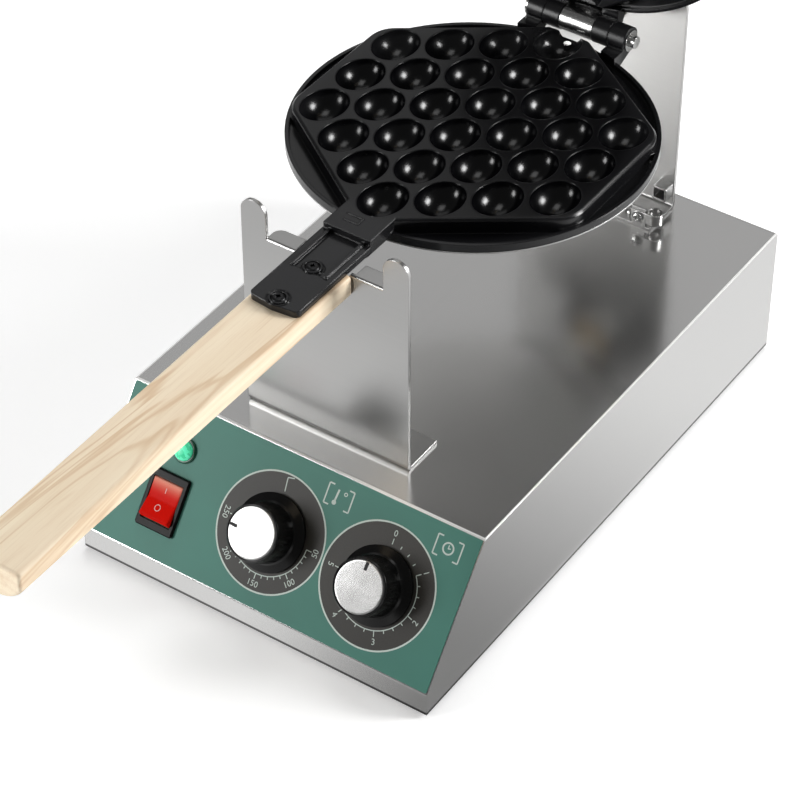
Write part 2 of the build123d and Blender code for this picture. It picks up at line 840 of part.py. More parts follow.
with BuildPart() as lamp_body:
    with BuildSketch(lamp_half_section):
        with BuildLine():
            Polyline(
                (0, -lamp_barrel_depth),
                (lamp_barrel_radius, -lamp_barrel_depth),
                (lamp_barrel_radius, 0),
                (lamp_ring_radius, 0),
                (lamp_ring_radius, lamp_ring_height * 0.6),
                (lamp_ring_radius - lamp_ring_height * 0.4, lamp_ring_height),
                (lens_radius, lamp_ring_height),
                (lens_radius, lamp_ring_height - lens_seat),
                (0, lamp_ring_height - lens_seat),
                close=True,
            )
        make_face()
    revolve(axis=lamp_axis)
lamp_body.part.label = "lamp_body"
export_step(lamp_body.part, "parts/lamp_body.step")

with BuildPart() as lamp_lens:
    with BuildSketch(lamp_half_section):
        with BuildLine():
            Polyline(
                (0, lamp_ring_height + lens_rise),
                (0, lamp_ring_height - lens_seat),
                (lens_radius, lamp_ring_height - lens_seat),
                (lens_radius, lamp_ring_height),
            )
            dome_x, dome_z = dome_point(lens_radius, lens_rise)
            ThreePointArc(
                (lens_radius, lamp_ring_height),
                (dome_x, lamp_ring_height + dome_z),
                (0, lamp_ring_height + lens_rise),
            )
        make_face()
    revolve(axis=lamp_axis)
lamp_lens.part.label = "lamp_lens"
export_step(lamp_lens.part, "parts/lamp_lens.step")

# ---------------------------------------------------------------- brackets on the cabinet
with BuildPart() as front_bracket:
    with BuildSketch(Plane.YZ):
        with BuildLine():
            Polyline(
                (front_bracket_y, top_z),
                (front_bracket_y + front_foot, top_z),
                (front_bracket_y + front_foot, top_z + bracket_sheet),
                (front_bracket_y + bracket_sheet, top_z + bracket_sheet),
                (front_bracket_y + bracket_sheet, axis_z + ear_rise),
                (front_bracket_y, axis_z + ear_rise),
                close=True,
            )
        make_face()
    extrude(amount=bracket_half_width, both=True)
    outer_fold = front_bracket.edges().filter_by(Axis.X).filter_by_position(
        Axis.Z, top_z - 0.1, top_z + 0.1
    ).sort_by(Axis.Y)[0]
    fillet(outer_fold, radius=bracket_bend)
    inner_fold = front_bracket.edges().filter_by(Axis.X).filter_by_position(
        Axis.Z, top_z + bracket_sheet - 0.1, top_z + bracket_sheet + 0.1
    ).sort_by(Axis.Y)[0]
    fillet(inner_fold, radius=bracket_bend - bracket_sheet)
    # Notch between the two ears, with the round cradle under the neck of the pan
    with BuildSketch(Plane.XZ.offset(-front_bracket_y)):
        with Locations((0, ledge_z + (notch_drop + ear_rise) / 2)):
            Rectangle(2 * ledge_outer, notch_drop + ear_rise)
        with Locations((0, axis_z)):
            Circle(cradle_radius)
    extrude(amount=-bracket_sheet, mode=Mode.SUBTRACT)
    ears = front_bracket.edges().filter_by(Axis.Y).group_by(Axis.Z)[-1]
    fillet(ears, radius=ear_width / 2 - 0.05)
    # Ledges folded back from the floor of the notch
    with BuildSketch(Plane.XY.offset(ledge_z - bracket_sheet)):
        with Locations(
            *[
                (x * (ledge_inner + ledge_outer) / 2, front_bracket_y + ledge_depth / 2)
                for x in (-1, 1)
            ]
        ):
            Rectangle(ledge_outer - ledge_inner, ledge_depth)
    extrude(amount=bracket_sheet)
    ledge_corners = front_bracket.edges().filter_by(Axis.Z).filter_by_position(
        Axis.Y, front_bracket_y + ledge_depth - 0.1, front_bracket_y + ledge_depth + 0.1
    )
    fillet(
        [edge for edge in ledge_corners if abs(edge.center().X) > ledge_outer - 1],
        radius=ledge_corner,
    )
    ledge_folds = front_bracket.edges().filter_by(Axis.X).filter_by_position(
        Axis.Z, ledge_z - 0.1, ledge_z + 0.1
    )
    fillet(
        [edge for edge in ledge_folds if abs(edge.center().Y - front_bracket_y) < 0.1],
        radius=bracket_sheet * 0.8,
    )
    with BuildSketch(Plane.XY.offset(top_z + bracket_sheet)):
        with Locations(*[(x * bracket_screw_x, front_screw_y) for x in (-1, 1)]):
            Circle(bracket_screw_radius)
    extrude(amount=-bracket_sheet, mode=Mode.SUBTRACT)
front_bracket.part.label = "front_bracket"
export_step(front_bracket.part, "parts/front_bracket.step")

with BuildPart() as rear_bracket:
    with BuildSketch(Plane.YZ):
        with BuildLine():
            Polyline(
                (rear_bracket_y + bracket_sheet, top_z),
                (rear_bracket_y + bracket_sheet, axis_z + rear_rise),
                (rear_bracket_y, axis_z + rear_rise),
                (rear_bracket_y, top_z + bracket_sheet),
                (rear_foot_y, top_z + bracket_sheet),
                (rear_foot_y, top_z),
                close=True,
            )
        make_face()
    extrude(amount=bracket_half_width, both=True)
    outer_fold = rear_bracket.edges().filter_by(Axis.X).filter_by_position(
        Axis.Z, top_z - 0.1, top_z + 0.1
    ).sort_by(Axis.Y)[-1]
    fillet(outer_fold, radius=bracket_bend)
    inner_fold = rear_bracket.edges().filter_by(Axis.X).filter_by_position(
        Axis.Z, top_z + bracket_sheet - 0.1, top_z + bracket_sheet + 0.1
    ).sort_by(Axis.Y)[-1]
    fillet(inner_fold, radius=bracket_bend - bracket_sheet)
    top_corners = rear_bracket.edges().filter_by(Axis.Y).group_by(Axis.Z)[-1]
    fillet(top_corners, radius=rear_corner)
    with BuildSketch(Plane.XZ.offset(-rear_bracket_y)):
        with Locations((0, axis_z)):
            Circle(bush_radius)
    extrude(amount=-bracket_sheet, mode=Mode.SUBTRACT)
    with BuildSketch(Plane.XY.offset(top_z + bracket_sheet)):
        with Locations(*[(x * rear_screw_x, rear_screw_y) for x in (-1, 1)]):
            Circle(bracket_screw_radius)
    extrude(amount=-bracket_sheet, mode=Mode.SUBTRACT)
    # Small tab folded up from the foot for the lead clip
    with BuildSketch(Plane.XY.offset(top_z)):
        with Locations((tab_x, rear_foot_y + bracket_sheet / 2)):
            Rectangle(tab_width, bracket_sheet)
    extrude(amount=tab_height)
    with BuildSketch(Plane.XZ.offset(-rear_foot_y)):
        with Locations((tab_x, clip_screw_z)):
            Circle(clip_screw_radius)
    extrude(amount=-bracket_sheet, mode=Mode.SUBTRACT)
rear_bracket.part.label = "rear_bracket"
export_step(rear_bracket.part, "parts/rear_bracket.step")

bracket_screw_places = [
    (x * screw_x, y)
    for screw_x, y in ((bracket_screw_x, front_screw_y), (rear_screw_x, rear_screw_y))
    for x in (-1, 1)
]
bracket_screw = pan_screw(
    bracket_screw_head,
    bracket_screw_head * 0.6,
    bracket_screw_radius,
    bracket_sheet + cabinet_sheet + bracket_nut + screw_end,
)
with BuildPart() as bracket_screws:
    with Locations(*[(x, y, top_z + bracket_sheet) for x, y in bracket_screw_places]):
        add(bracket_screw)
bracket_screws.part.label = "bracket_screws"
export_step(bracket_screws.part, "parts/bracket_screws.step")

with BuildPart() as bracket_nuts:
    with BuildSketch(Plane.XY.offset(top_z - cabinet_sheet)):
        with Locations(*bracket_screw_places):
            RegularPolygon(bracket_nut_width / 2, 6, major_radius=False)
            Circle(bracket_screw_radius, mode=Mode.SUBTRACT)
    extrude(amount=-bracket_nut)
bracket_nuts.part.label = "bracket_nuts"
export_step(bracket_nuts.part, "parts/bracket_nuts.step")

with BuildPart() as lead_guide:
    with BuildSketch(Plane.XZ.offset(-rear_bracket_y)):
        with Locations((guide_x, guide_z)):
            RectangleRounded(guide_width, guide_width, guide_wall)
            Rectangle(
                guide_width - 2 * guide_wall, guide_width - 2 * guide_wall, mode=Mode.SUBTRACT
            )
    extrude(amount=guide_length)
lead_guide.part.label = "lead_guide"
export_step(lead_guide.part, "parts/lead_guide.step")

with BuildPart() as lead_clip:
    # Strap lying on the tab, rolled into a loop beyond it
    loop_x = tab_x + tab_width / 2 + clip_radius
    with BuildSketch(Plane.XY.offset(clip_screw_z - clip_width / 2)):
        with Locations((loop_x, rear_foot_y - clip_sheet + clip_radius)):
            Circle(clip_radius)
            Circle(clip_radius - clip_sheet, mode=Mode.SUBTRACT)
        with Locations(((tab_x - tab_width / 2 + loop_x) / 2, rear_foot_y - clip_sheet / 2)):
            Rectangle(loop_x - tab_x + tab_width / 2, clip_sheet)
    extrude(amount=clip_width)
    with BuildSketch(Plane.XZ.offset(-rear_foot_y)):
        with Locations((tab_x, clip_screw_z)):
            Circle(clip_screw_radius)
    extrude(amount=clip_sheet, mode=Mode.SUBTRACT)
lead_clip.part.label = "lead_clip"
export_step(lead_clip.part, "parts/lead_clip.step")

clip_screw_piece = pan_screw(
    clip_screw_head, clip_screw_head * 0.7, clip_screw_radius, clip_sheet + bracket_sheet + 2
)
with BuildPart() as clip_screw:
    with Locations(Location((tab_x, rear_foot_y - clip_sheet, clip_screw_z), (90, 0, 0))):
        add(clip_screw_piece)
clip_screw.part.label = "clip_screw"
export_step(clip_screw.part, "parts/clip_screw.step")

# ---------------------------------------------------------------- turning journal behind the pan
bush_front = rear_bracket_y - bush_flange
bush_back = rear_bracket_y + bracket_sheet + bush_nut + bush_end
collar_front = bush_back + collar_gap
journal_end = collar_front + collar_length + turning_end

with BuildPart() as bearing_bush:
    with BuildSketch(Plane.YZ):
        with BuildLine():
            Polyline(
                (bush_front, axis_z + turning_radius + running_fit),
                (bush_front, axis_z + bush_flange_radius),
                (rear_bracket_y, axis_z + bush_flange_radius),
                (rear_bracket_y, axis_z + bush_radius),
                (bush_back, axis_z + bush_radius),
                (bush_back, axis_z + turning_radius + running_fit),
                close=True,
            )
        make_face()
    revolve(axis=turning_axis)
bearing_bush.part.label = "bearing_bush"
export_step(bearing_bush.part, "parts/bearing_bush.step")

with BuildPart() as bush_locknut:
    with BuildSketch(Plane.XZ.offset(-rear_bracket_y - bracket_sheet)):
        with Locations((0, axis_z)):
            RegularPolygon(bush_nut_width / 2, 6, major_radius=False)
            Circle(bush_radius, mode=Mode.SUBTRACT)
    extrude(amount=-bush_nut)
bush_locknut.part.label = "bush_locknut"
export_step(bush_locknut.part, "parts/bush_locknut.step")

with BuildPart() as pivot_block:
    with BuildSketch(Plane.YZ):
        with Locations((pin_y, axis_z)):
            Circle(block_half_height)
        with Locations((pin_y + block_reach / 2, axis_z)):
            Rectangle(block_reach, 2 * block_half_height)
    extrude(amount=block_half_width, both=True)
    with BuildSketch(Plane.XZ.offset(-pin_y)):
        with Locations((0, axis_z)):
            Circle(turning_radius)
    extrude(amount=pin_y - journal_end)
    with BuildSketch(Plane.XZ.offset(-journal_end)):
        with Locations((0, axis_z)):
            Circle(turning_bore)
    extrude(amount=journal_end - pin_y - 2 * pin_radius, mode=Mode.SUBTRACT)
    with BuildSketch(Plane.YZ):
        with Locations((pin_y, axis_z)):
            Circle(pin_radius)
    extrude(amount=block_half_width, both=True, mode=Mode.SUBTRACT)
pivot_block.part.label = "pivot_block"
export_step(pivot_block.part, "parts/pivot_block.step")

with BuildPart() as hinge_pin:
    with BuildSketch(Plane.YZ.offset(-pin_half_span)):
        with Locations((pin_y, axis_z)):
            Circle(pin_radius)
    extrude(amount=2 * pin_half_span + clip_setback + clip_thickness + pin_radius / 2)
    with BuildSketch(Plane.YZ.offset(-pin_half_span)):
        with Locations((pin_y, axis_z)):
            Circle(pin_head_radius)
    extrude(amount=-pin_head)
    fillet(hinge_pin.edges().sort_by(Axis.X)[0], radius=pin_head / 3)
hinge_pin.part.label = "hinge_pin"
export_step(hinge_pin.part, "parts/hinge_pin.step")

with BuildPart() as pin_clip:
    with BuildSketch(Plane.YZ.offset(pin_half_span)):
        with Locations((pin_y, axis_z)):
            Circle(pin_head_radius)
            Circle(pin_radius, mode=Mode.SUBTRACT)
    extrude(amount=clip_thickness)
pin_clip.part.label = "pin_clip"
export_step(pin_clip.part, "parts/pin_clip.step")

with BuildPart() as shaft_collar:
    with BuildSketch(Plane.XZ.offset(-collar_front)):
        with Locations((0, axis_z)):
            Circle(collar_radius)
            Circle(turning_radius, mode=Mode.SUBTRACT)
    extrude(amount=-collar_length)
    with BuildSketch(Plane.XY.offset(axis_z)):
        with Locations((0, collar_front + collar_length / 2)):
            Circle(set_screw_radius)
    extrude(amount=2 * collar_radius, mode=Mode.SUBTRACT)
shaft_collar.part.label = "shaft_collar"
export_step(shaft_collar.part, "parts/shaft_collar.step")

with BuildPart() as collar_set_screw:
    with BuildSketch(Plane.XY.offset(axis_z + turning_radius)):
        with Locations((0, collar_front + collar_length / 2)):
            Circle(set_screw_radius)
    extrude(amount=collar_radius - turning_radius - set_screw_sink)
    with BuildSketch(collar_set_screw.faces().sort_by(Axis.Z)[-1]):
        RegularPolygon(socket_radius, 6)
    extrude(amount=-socket_depth, mode=Mode.SUBTRACT)
collar_set_screw.part.label = "collar_set_screw"
export_step(collar_set_screw.part, "parts/collar_set_screw.step")


# ---------------------------------------------------------------- mould halves
def egg_cell():
    """Prolate cell, long along the pan, that is cut into the land."""
    with BuildPart() as cell:
        with BuildSketch(Plane.XY):
            with BuildLine():
                EllipticalCenterArc(
                    (0, 0), cell_radius, cell_half_length, start_angle=-90, arc_size=180
                )
                Line((0, cell_half_length), (0, -cell_half_length))
            make_face()
        revolve(axis=Axis.Y)
    return cell.part


def land():
    """Hexagonal block whose top is the land between the cells."""
    with BuildPart() as block:
        with BuildSketch(Plane.XY.offset(-block_back)):
            with BuildLine():
                Polyline(*hexagon, close=True)
            make_face()
            offset(amount=land_margin - land_corner, kind=Kind.INTERSECTION)
            offset(amount=land_corner, kind=Kind.ARC)
            Circle(corner_reach, mode=Mode.INTERSECT)
        extrude(amount=block_back - land_gap)
        chamfer(block.faces().sort_by(Axis.Z)[-1].edges(), length=land_bevel)
        # The back is turned away to clear the slope of the cover
        with BuildSketch(Plane.XZ):
            with BuildLine():
                Polyline(
                    (cover_shoulder - cover_fit, -floor_depth),
                    (rim_outer + cover_fit, -floor_depth),
                    (rim_outer + cover_fit, -cover_inside),
                    (cover_flat - cover_fit, -cover_inside),
                    close=True,
                )
            make_face()
        revolve(axis=Axis.Z, mode=Mode.SUBTRACT)
    return block.part


def mould_plate(lug_inner):
    """Cast mould drawn as the lower half, its parting plane on XY and its centre at the origin.

    The hexagonal land with the cells stands inside a round rim, with a gutter between them.
    In front the neck carries the tang for the handle, behind it two lugs take the hinge pin.
    """
    lug_middles = [x * (lug_inner + lug_width / 2) for x in (-1, 1)]
    with BuildPart() as plate:
        for middle in lug_middles:
            with BuildSketch(Plane.YZ.offset(middle)):
                with BuildLine():
                    Polyline(
                        (rim_inner / 2, -lug_drop),
                        (hinge_reach, -lug_drop),
                        (hinge_reach, -knuckle_radius),
                        (rim_outer, -floor_depth),
                        (rim_inner / 2, -floor_depth),
                        close=True,
                    )
                make_face()
                with Locations((hinge_reach, 0)):
                    Circle(knuckle_radius)
            extrude(amount=lug_width / 2, both=True)
        with BuildSketch(Plane.XY.offset(-floor_depth)):
            Circle(rim_outer)
        extrude(amount=floor_depth - rim_drop)
        with BuildSketch(Plane.XY.offset(-gutter_depth)):
            Circle(rim_inner)
        extrude(amount=gutter_depth, mode=Mode.SUBTRACT)
        with BuildSketch(Plane.XY.offset(-floor_depth)):
            for angle in corner_angles:
                with PolarLocations(pad_reach, 1, start_angle=angle):
                    Circle(pad_radius)
        extrude(amount=floor_depth - rim_drop)
        # Neck, round underneath where it turns in the cradle, and the tang in front of it
        with BuildSketch(Plane.XZ.offset(neck_face)):
            Circle(journal_radius)
            with Locations((0, -land_gap - journal_radius / 2)):
                Rectangle(2 * neck_half_width, journal_radius, mode=Mode.INTERSECT)
        extrude(amount=tip_y - neck_face)
        with BuildSketch(Plane.XY.offset(-floor_depth)):
            Circle(rim_outer + cover_fit)
        extrude(amount=-journal_radius, mode=Mode.SUBTRACT)
        with BuildSketch(Plane.XY.offset(-tang_bottom)):
            with BuildLine():
                Polyline(
                    (-tang_half_width, tang_corner - tang_end),
                    (-tang_half_width, -neck_face),
                    (tang_half_width, -neck_face),
                    (tang_half_width, tang_corner - tang_end),
                )
                FilletPolyline(
                    (tang_half_width, tang_corner - tang_end),
                    (tang_half_width, -tang_end + tang_bow),
                    (0, -tang_end),
                    (-tang_half_width, -tang_end + tang_bow),
                    (-tang_half_width, tang_corner - tang_end),
                    radius=tang_corner / 2,
                )
            make_face()
        extrude(amount=tang_thickness)
        with BuildSketch(Plane.XY.offset(-tang_top_drop)):
            with Locations((0, -neck_face - rib_length / 2)):
                with GridLocations(2 * rib_offset, 1, 2, 1):
                    Rectangle(rib_width, rib_length)
        extrude(amount=rib_height)
        with BuildSketch(Plane.XY.offset(-tang_top_drop)):
            with Locations((0, -neck_face - rib_length / 2)):
                Rectangle(2 * rib_offset - rib_width, rib_length)
        extrude(amount=-tang_recess, mode=Mode.SUBTRACT)
        # Raised rings round the handle screws, drilled through
        with BuildSketch(Plane.XY.offset(-tang_top_drop - tang_recess)):
            with Locations(*[(0, -y) for y in handle_screw_places]):
                Circle(handle_screw_head + screw_ring_wall)
        extrude(amount=tang_recess + screw_ring_height)
        with BuildSketch(Plane.XY.offset(-tang_top_drop + screw_ring_height)):
            with Locations(*[(0, -y) for y in handle_screw_places]):
                Circle(handle_screw_head + running_fit)
        extrude(amount=-screw_ring_height - tang_recess, mode=Mode.SUBTRACT)
        with BuildSketch(Plane.XY.offset(-tang_bottom)):
            with Locations(*[(0, -y) for y in handle_screw_places]):
                Circle(handle_screw_radius)
        extrude(amount=tang_thickness, mode=Mode.SUBTRACT)
        add(land())
        with Locations(*[(x, y, cell_rise) for x, y in cell_places]):
            add(egg_cell(), mode=Mode.SUBTRACT)
        # Tapped holes for the cover, and the bore for the hinge pin
        with BuildSketch(Plane.XY.offset(-floor_depth)):
            for angle in corner_angles:
                with PolarLocations(cover_screw_reach, 1, start_angle=angle):
                    Circle(cover_screw_radius + screw_fit)
        extrude(amount=cover_screw_length - cover_sheet + screw_fit, mode=Mode.SUBTRACT)
        with BuildSketch(Plane.YZ):
            with Locations((hinge_reach, 0)):
                Circle(pin_radius + pin_play[lug_inner])
        extrude(amount=lug_inner + lug_width, both=True, mode=Mode.SUBTRACT)
    return plate.part


def mould_cover():
    """Shallow pressed dish that closes the back of a mould over its heater."""
    with BuildPart() as dish:
        with BuildSketch(Plane.XZ):
            with BuildLine():
                FilletPolyline(
                    (0, -half_thickness),
                    (cover_flat, -half_thickness),
                    (cover_shoulder, -floor_depth - cover_sheet),
                    (rim_outer, -floor_depth - cover_sheet),
                    radius=cover_bend + cover_sheet,
                )
                Line((rim_outer, -floor_depth - cover_sheet), (rim_outer, -floor_depth))
                FilletPolyline(
                    (rim_outer, -floor_depth),
                    (cover_shoulder, -floor_depth),
                    (cover_flat, -cover_inside),
                    (0, -cover_inside),
                    radius=cover_bend,
                )
                Line((0, -cover_inside), (0, -half_thickness))
            make_face()
        revolve(axis=Axis.Z)
        with BuildSketch(Plane.XY.offset(-floor_depth)):
            for angle in corner_angles:
                with PolarLocations(cover_screw_reach, 1, start_angle=angle):
                    Circle(cover_screw_radius)
        extrude(amount=-cover_sheet, mode=Mode.SUBTRACT)
    return dish.part


def heater():
    """Tubular element bent round under the cells, its two tails at the hinge side."""
    tail_x = heater_tail_gap / 2
    with BuildPart() as element:
        with BuildLine(Plane.XY.offset(-block_back - heater_diameter / 2)) as route:
            FilletPolyline(
                (-tail_x, heater_tail),
                (-tail_x, heater_tail - heater_bend),
                (-heater_side, heater_shoulder),
                (-heater_side, -heater_shoulder),
                (0, -heater_front),
                (heater_side, -heater_shoulder),
                (heater_side, heater_shoulder),
                (tail_x, heater_tail - heater_bend),
                (tail_x, heater_tail),
                radius=heater_bend,
            )
        with BuildSketch(Plane(origin=route.line @ 0, z_dir=route.line % 0)):
            Circle(heater_diameter / 2)
        sweep(path=route.line)
        with BuildSketch(Plane.XZ.offset(-heater_tail)):
            with Locations(
                (-tail_x, -block_back - heater_diameter / 2),
                (tail_x, -block_back - heater_diameter / 2),
            ):
                Circle(terminal_stud_radius)
        extrude(amount=-terminal_stud_length)
    return element.part


def cover_screws():
    """The six screws that hold a cover to its mould."""
    piece = pan_screw(
        cover_screw_head, cover_screw_head * 0.55, cover_screw_radius, cover_screw_length
    )
    with BuildPart() as screws:
        for angle in corner_angles:
            x = cover_screw_reach * cos(radians(angle))
            y = cover_screw_reach * sin(radians(angle))
            with Locations(Location((x, y, -floor_depth - cover_sheet), (180, 0, 0))):
                add(piece)
    return screws.part


def handle():
    """Wooden grip, flat under the tang and rounded below."""
    with BuildPart() as grip:
        for station, width in ((handle_start, handle_root_width), (handle_end, handle_tip_width)):
            with BuildSketch(Plane.XZ.offset(station)) as section:
                with BuildLine():
                    Polyline(
                        (-width / 2, -tang_bottom - handle_side),
                        (-width / 2, -tang_bottom),
                        (width / 2, -tang_bottom),
                        (width / 2, -tang_bottom - handle_side),
                    )
                    ThreePointArc(
                        (width / 2, -tang_bottom - handle_side),
                        (0, -tang_bottom - handle_depth),
                        (-width / 2, -tang_bottom - handle_side),
                    )
                make_face()
                fillet(section.vertices(), radius=handle_edge)
        loft()
        fillet(grip.faces().sort_by(Axis.Y)[0].edges(), radius=handle_tip_edge)
        with BuildSketch(Plane.XY.offset(-tang_bottom)):
            with Locations(*[(0, -y) for y in handle_screw_places]):
                Circle(handle_screw_radius)
        extrude(amount=-handle_screw_bite, mode=Mode.SUBTRACT)
    return grip.part


def handle_screws():
    """The two screws through the tang into the wood."""
    piece = pan_screw(
        handle_screw_head,
        handle_screw_head * 0.55,
        handle_screw_radius,
        handle_screw_bite + tang_thickness - tang_recess,
    )
    with BuildPart() as screws:
        with Locations(*[(0, -y, -tang_top_drop - tang_recess) for y in handle_screw_places]):
            add(piece)
    return screws.part


half_pieces = {
    "heater": heater(),
    "cover": mould_cover(),
    "cover_screws": cover_screws(),
    "handle": handle(),
    "handle_screws": handle_screws(),
}
for side, lug_inner in (("lower", pan_lug), ("upper", lid_lug)):
    pieces = {"mould_plate": mould_plate(lug_inner), **half_pieces}
    for name, piece in pieces.items():
        placed = place_half(piece, side)
        placed.label = f"{side}_{name}"
        export_step(placed, f"parts/{side}_{name}.step")
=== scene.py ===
"""Finishes, printed panel and studio for an electric egg waffle iron.

The cast moulds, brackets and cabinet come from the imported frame. This file gives
them their finishes and adds what is too thin or too fine for a solid: the print
on the panel, the spun caps on the knobs, the marks on the switch, the cut lens.
Lengths are metres, +Z is up, +X is to the operator's right.
"""

import json
import math

import bmesh
import bpy
from bpy.props import FloatProperty, FloatVectorProperty, IntProperty, PointerProperty
from bpy.types import Operator, Panel, PropertyGroup
from mathutils import Matrix, Vector


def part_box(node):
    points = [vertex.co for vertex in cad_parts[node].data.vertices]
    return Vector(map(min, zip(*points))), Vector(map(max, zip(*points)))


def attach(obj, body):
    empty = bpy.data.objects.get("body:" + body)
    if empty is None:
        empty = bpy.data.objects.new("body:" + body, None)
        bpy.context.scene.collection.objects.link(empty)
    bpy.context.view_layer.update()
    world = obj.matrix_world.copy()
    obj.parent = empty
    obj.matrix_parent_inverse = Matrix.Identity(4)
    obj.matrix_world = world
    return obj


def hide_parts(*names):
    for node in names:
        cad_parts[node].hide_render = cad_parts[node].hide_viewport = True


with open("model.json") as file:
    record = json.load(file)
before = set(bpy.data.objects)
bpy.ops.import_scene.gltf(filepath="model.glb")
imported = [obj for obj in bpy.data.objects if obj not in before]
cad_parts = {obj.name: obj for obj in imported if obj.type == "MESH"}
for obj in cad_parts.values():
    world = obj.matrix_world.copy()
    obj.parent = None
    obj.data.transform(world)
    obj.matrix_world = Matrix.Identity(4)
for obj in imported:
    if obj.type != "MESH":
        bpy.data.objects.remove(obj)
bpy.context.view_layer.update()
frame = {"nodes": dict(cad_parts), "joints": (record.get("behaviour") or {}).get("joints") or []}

bl_info = {
    "name": "Egg waffle iron",
    "version": (1, 0, 0),
    "blender": (4, 5, 0),
    "location": "View3D > Sidebar > Waffle iron",
    "description": "Dresses the solids of an egg waffle iron and lights them",
    "category": "Object",
}

# ---------------------------------------------------------------- places read from the frame
joints = {joint["name"]: joint for joint in frame["joints"]}
thermostat_centre = Vector(joints["thermostat_turn"]["pos_m"])
timer_centre = Vector(joints["timer_turn"]["pos_m"])
rocker_centre = Vector(joints["power_rocker_tilt"]["pos_m"])

panel_out = Vector(joints["thermostat_turn"]["axis"]).normalized()
panel_right = Vector((1, 0, 0))
panel_up = panel_out.cross(panel_right)

upward = Vector((0, 0, 1))
lid_angle = math.radians(95)  # how far open the lid stands at rest
lid_opened = Matrix.Rotation(-lid_angle, 3, Vector(joints["lid_hinge"]["axis"]))

# how far the layers of print stand off each other and off the film
skin = 0.00002
film_gap = 0.00003
dial_lift, sign_lift, line_lift, scale_lift = 0.00002, 0.00003, 0.00004, 0.00005


def reach(node, direction):
    """How far a node's solid goes along a direction, as (least, most)."""
    along = [vertex.co.dot(direction) for vertex in frame["nodes"][node].data.vertices]
    return min(along), max(along)


def main_face(node, out):
    """A node's largest flat face looking along a direction: how far along it lies, and its middle."""
    levels = {}
    for face in frame["nodes"][node].data.polygons:
        if face.normal.dot(out) > 0.999:
            levels.setdefault(round(face.center.dot(out), 4), []).append(face)
    level = max(levels, key=lambda height: sum(face.area for face in levels[height]))
    area = sum(face.area for face in levels[level])
    return level, sum((face.center * face.area for face in levels[level]), Vector()) / area


film_level = reach("panel_overlay", panel_out)[1]
film_foot = reach("panel_overlay", panel_up)[0]


def panel_point(x, rise, lift=0.0):
    """A point on the printed film: x across, rise from its lower edge, lift off its face."""
    return panel_right * x + panel_up * (film_foot + rise) + panel_out * (film_level + lift)


def panel_rise(point):
    """How far up the film from its lower edge a point lies."""
    return point.dot(panel_up) - film_foot


# ---------------------------------------------------------------- sizes and colours
class PanelPrint(PropertyGroup):
    """The film on the slope and what is printed on it."""

    film: FloatVectorProperty(
        name="Film", description="Ground colour of the printed film",
        subtype="COLOR", min=0, max=1, default=(0.056, 0.2, 0.158),
    )
    ink: FloatVectorProperty(
        name="Ink", description="Colour of the scales and numbers",
        subtype="COLOR", min=0, max=1, default=(0.6, 0.68, 0.63),
    )
    dial: FloatVectorProperty(
        name="Dial", description="Colour of the dark rings round the knobs",
        subtype="COLOR", min=0, max=1, default=(0.034, 0.032, 0.028),
    )
    thermostat_dial: FloatProperty(
        name="Thermostat dial", description="Radius of the thermostat's dark ring",
        unit="LENGTH", min=0.025, default=0.0322,
    )
    timer_dial: FloatProperty(
        name="Timer dial", description="Radius of the timer's dark ring",
        unit="LENGTH", min=0.025, default=0.0332,
    )
    film_side_margin: FloatProperty(
        name="Film side margin", description="Bare steel left beside the film",
        unit="LENGTH", min=0.0003, default=0.0009,
    )
    film_corner: FloatProperty(
        name="Film corner", description="Radius of the film's corners",
        unit="LENGTH", min=0.0002, default=0.0008,
    )
    dial_bore: FloatProperty(
        name="Dial bore", description="Radius of the hole in each dark ring, under the knob",
        unit="LENGTH", min=0.004, default=0.0082,
    )
    dial_line: FloatProperty(
        name="Dial line", description="Width of the pale line round each dial",
        unit="LENGTH", min=0.0002, default=0.0009,
    )
    scale_radius: FloatProperty(
        name="Scale radius", description="Radius at which the ticks start",
        unit="LENGTH", min=0.022, default=0.0228,
    )
    tick_width: FloatProperty(
        name="Tick width", description="Width of the scale's ticks",
        unit="LENGTH", min=0.0002, default=0.0005,
    )
    long_tick: FloatProperty(
        name="Long tick", description="Length of the ticks with a number",
        unit="LENGTH", min=0.001, default=0.0031,
    )
    short_tick: FloatProperty(
        name="Short tick", description="Length of the ticks between",
        unit="LENGTH", min=0.0005, default=0.0017,
    )
    sign_line: FloatProperty(
        name="Sign line", description="Width of the signs' brackets",
        unit="LENGTH", min=0.0002, default=0.0008,
    )
    number_height: FloatProperty(
        name="Number height", description="Height of the numbers on the dials",
        unit="LENGTH", min=0.001, default=0.0033,
    )


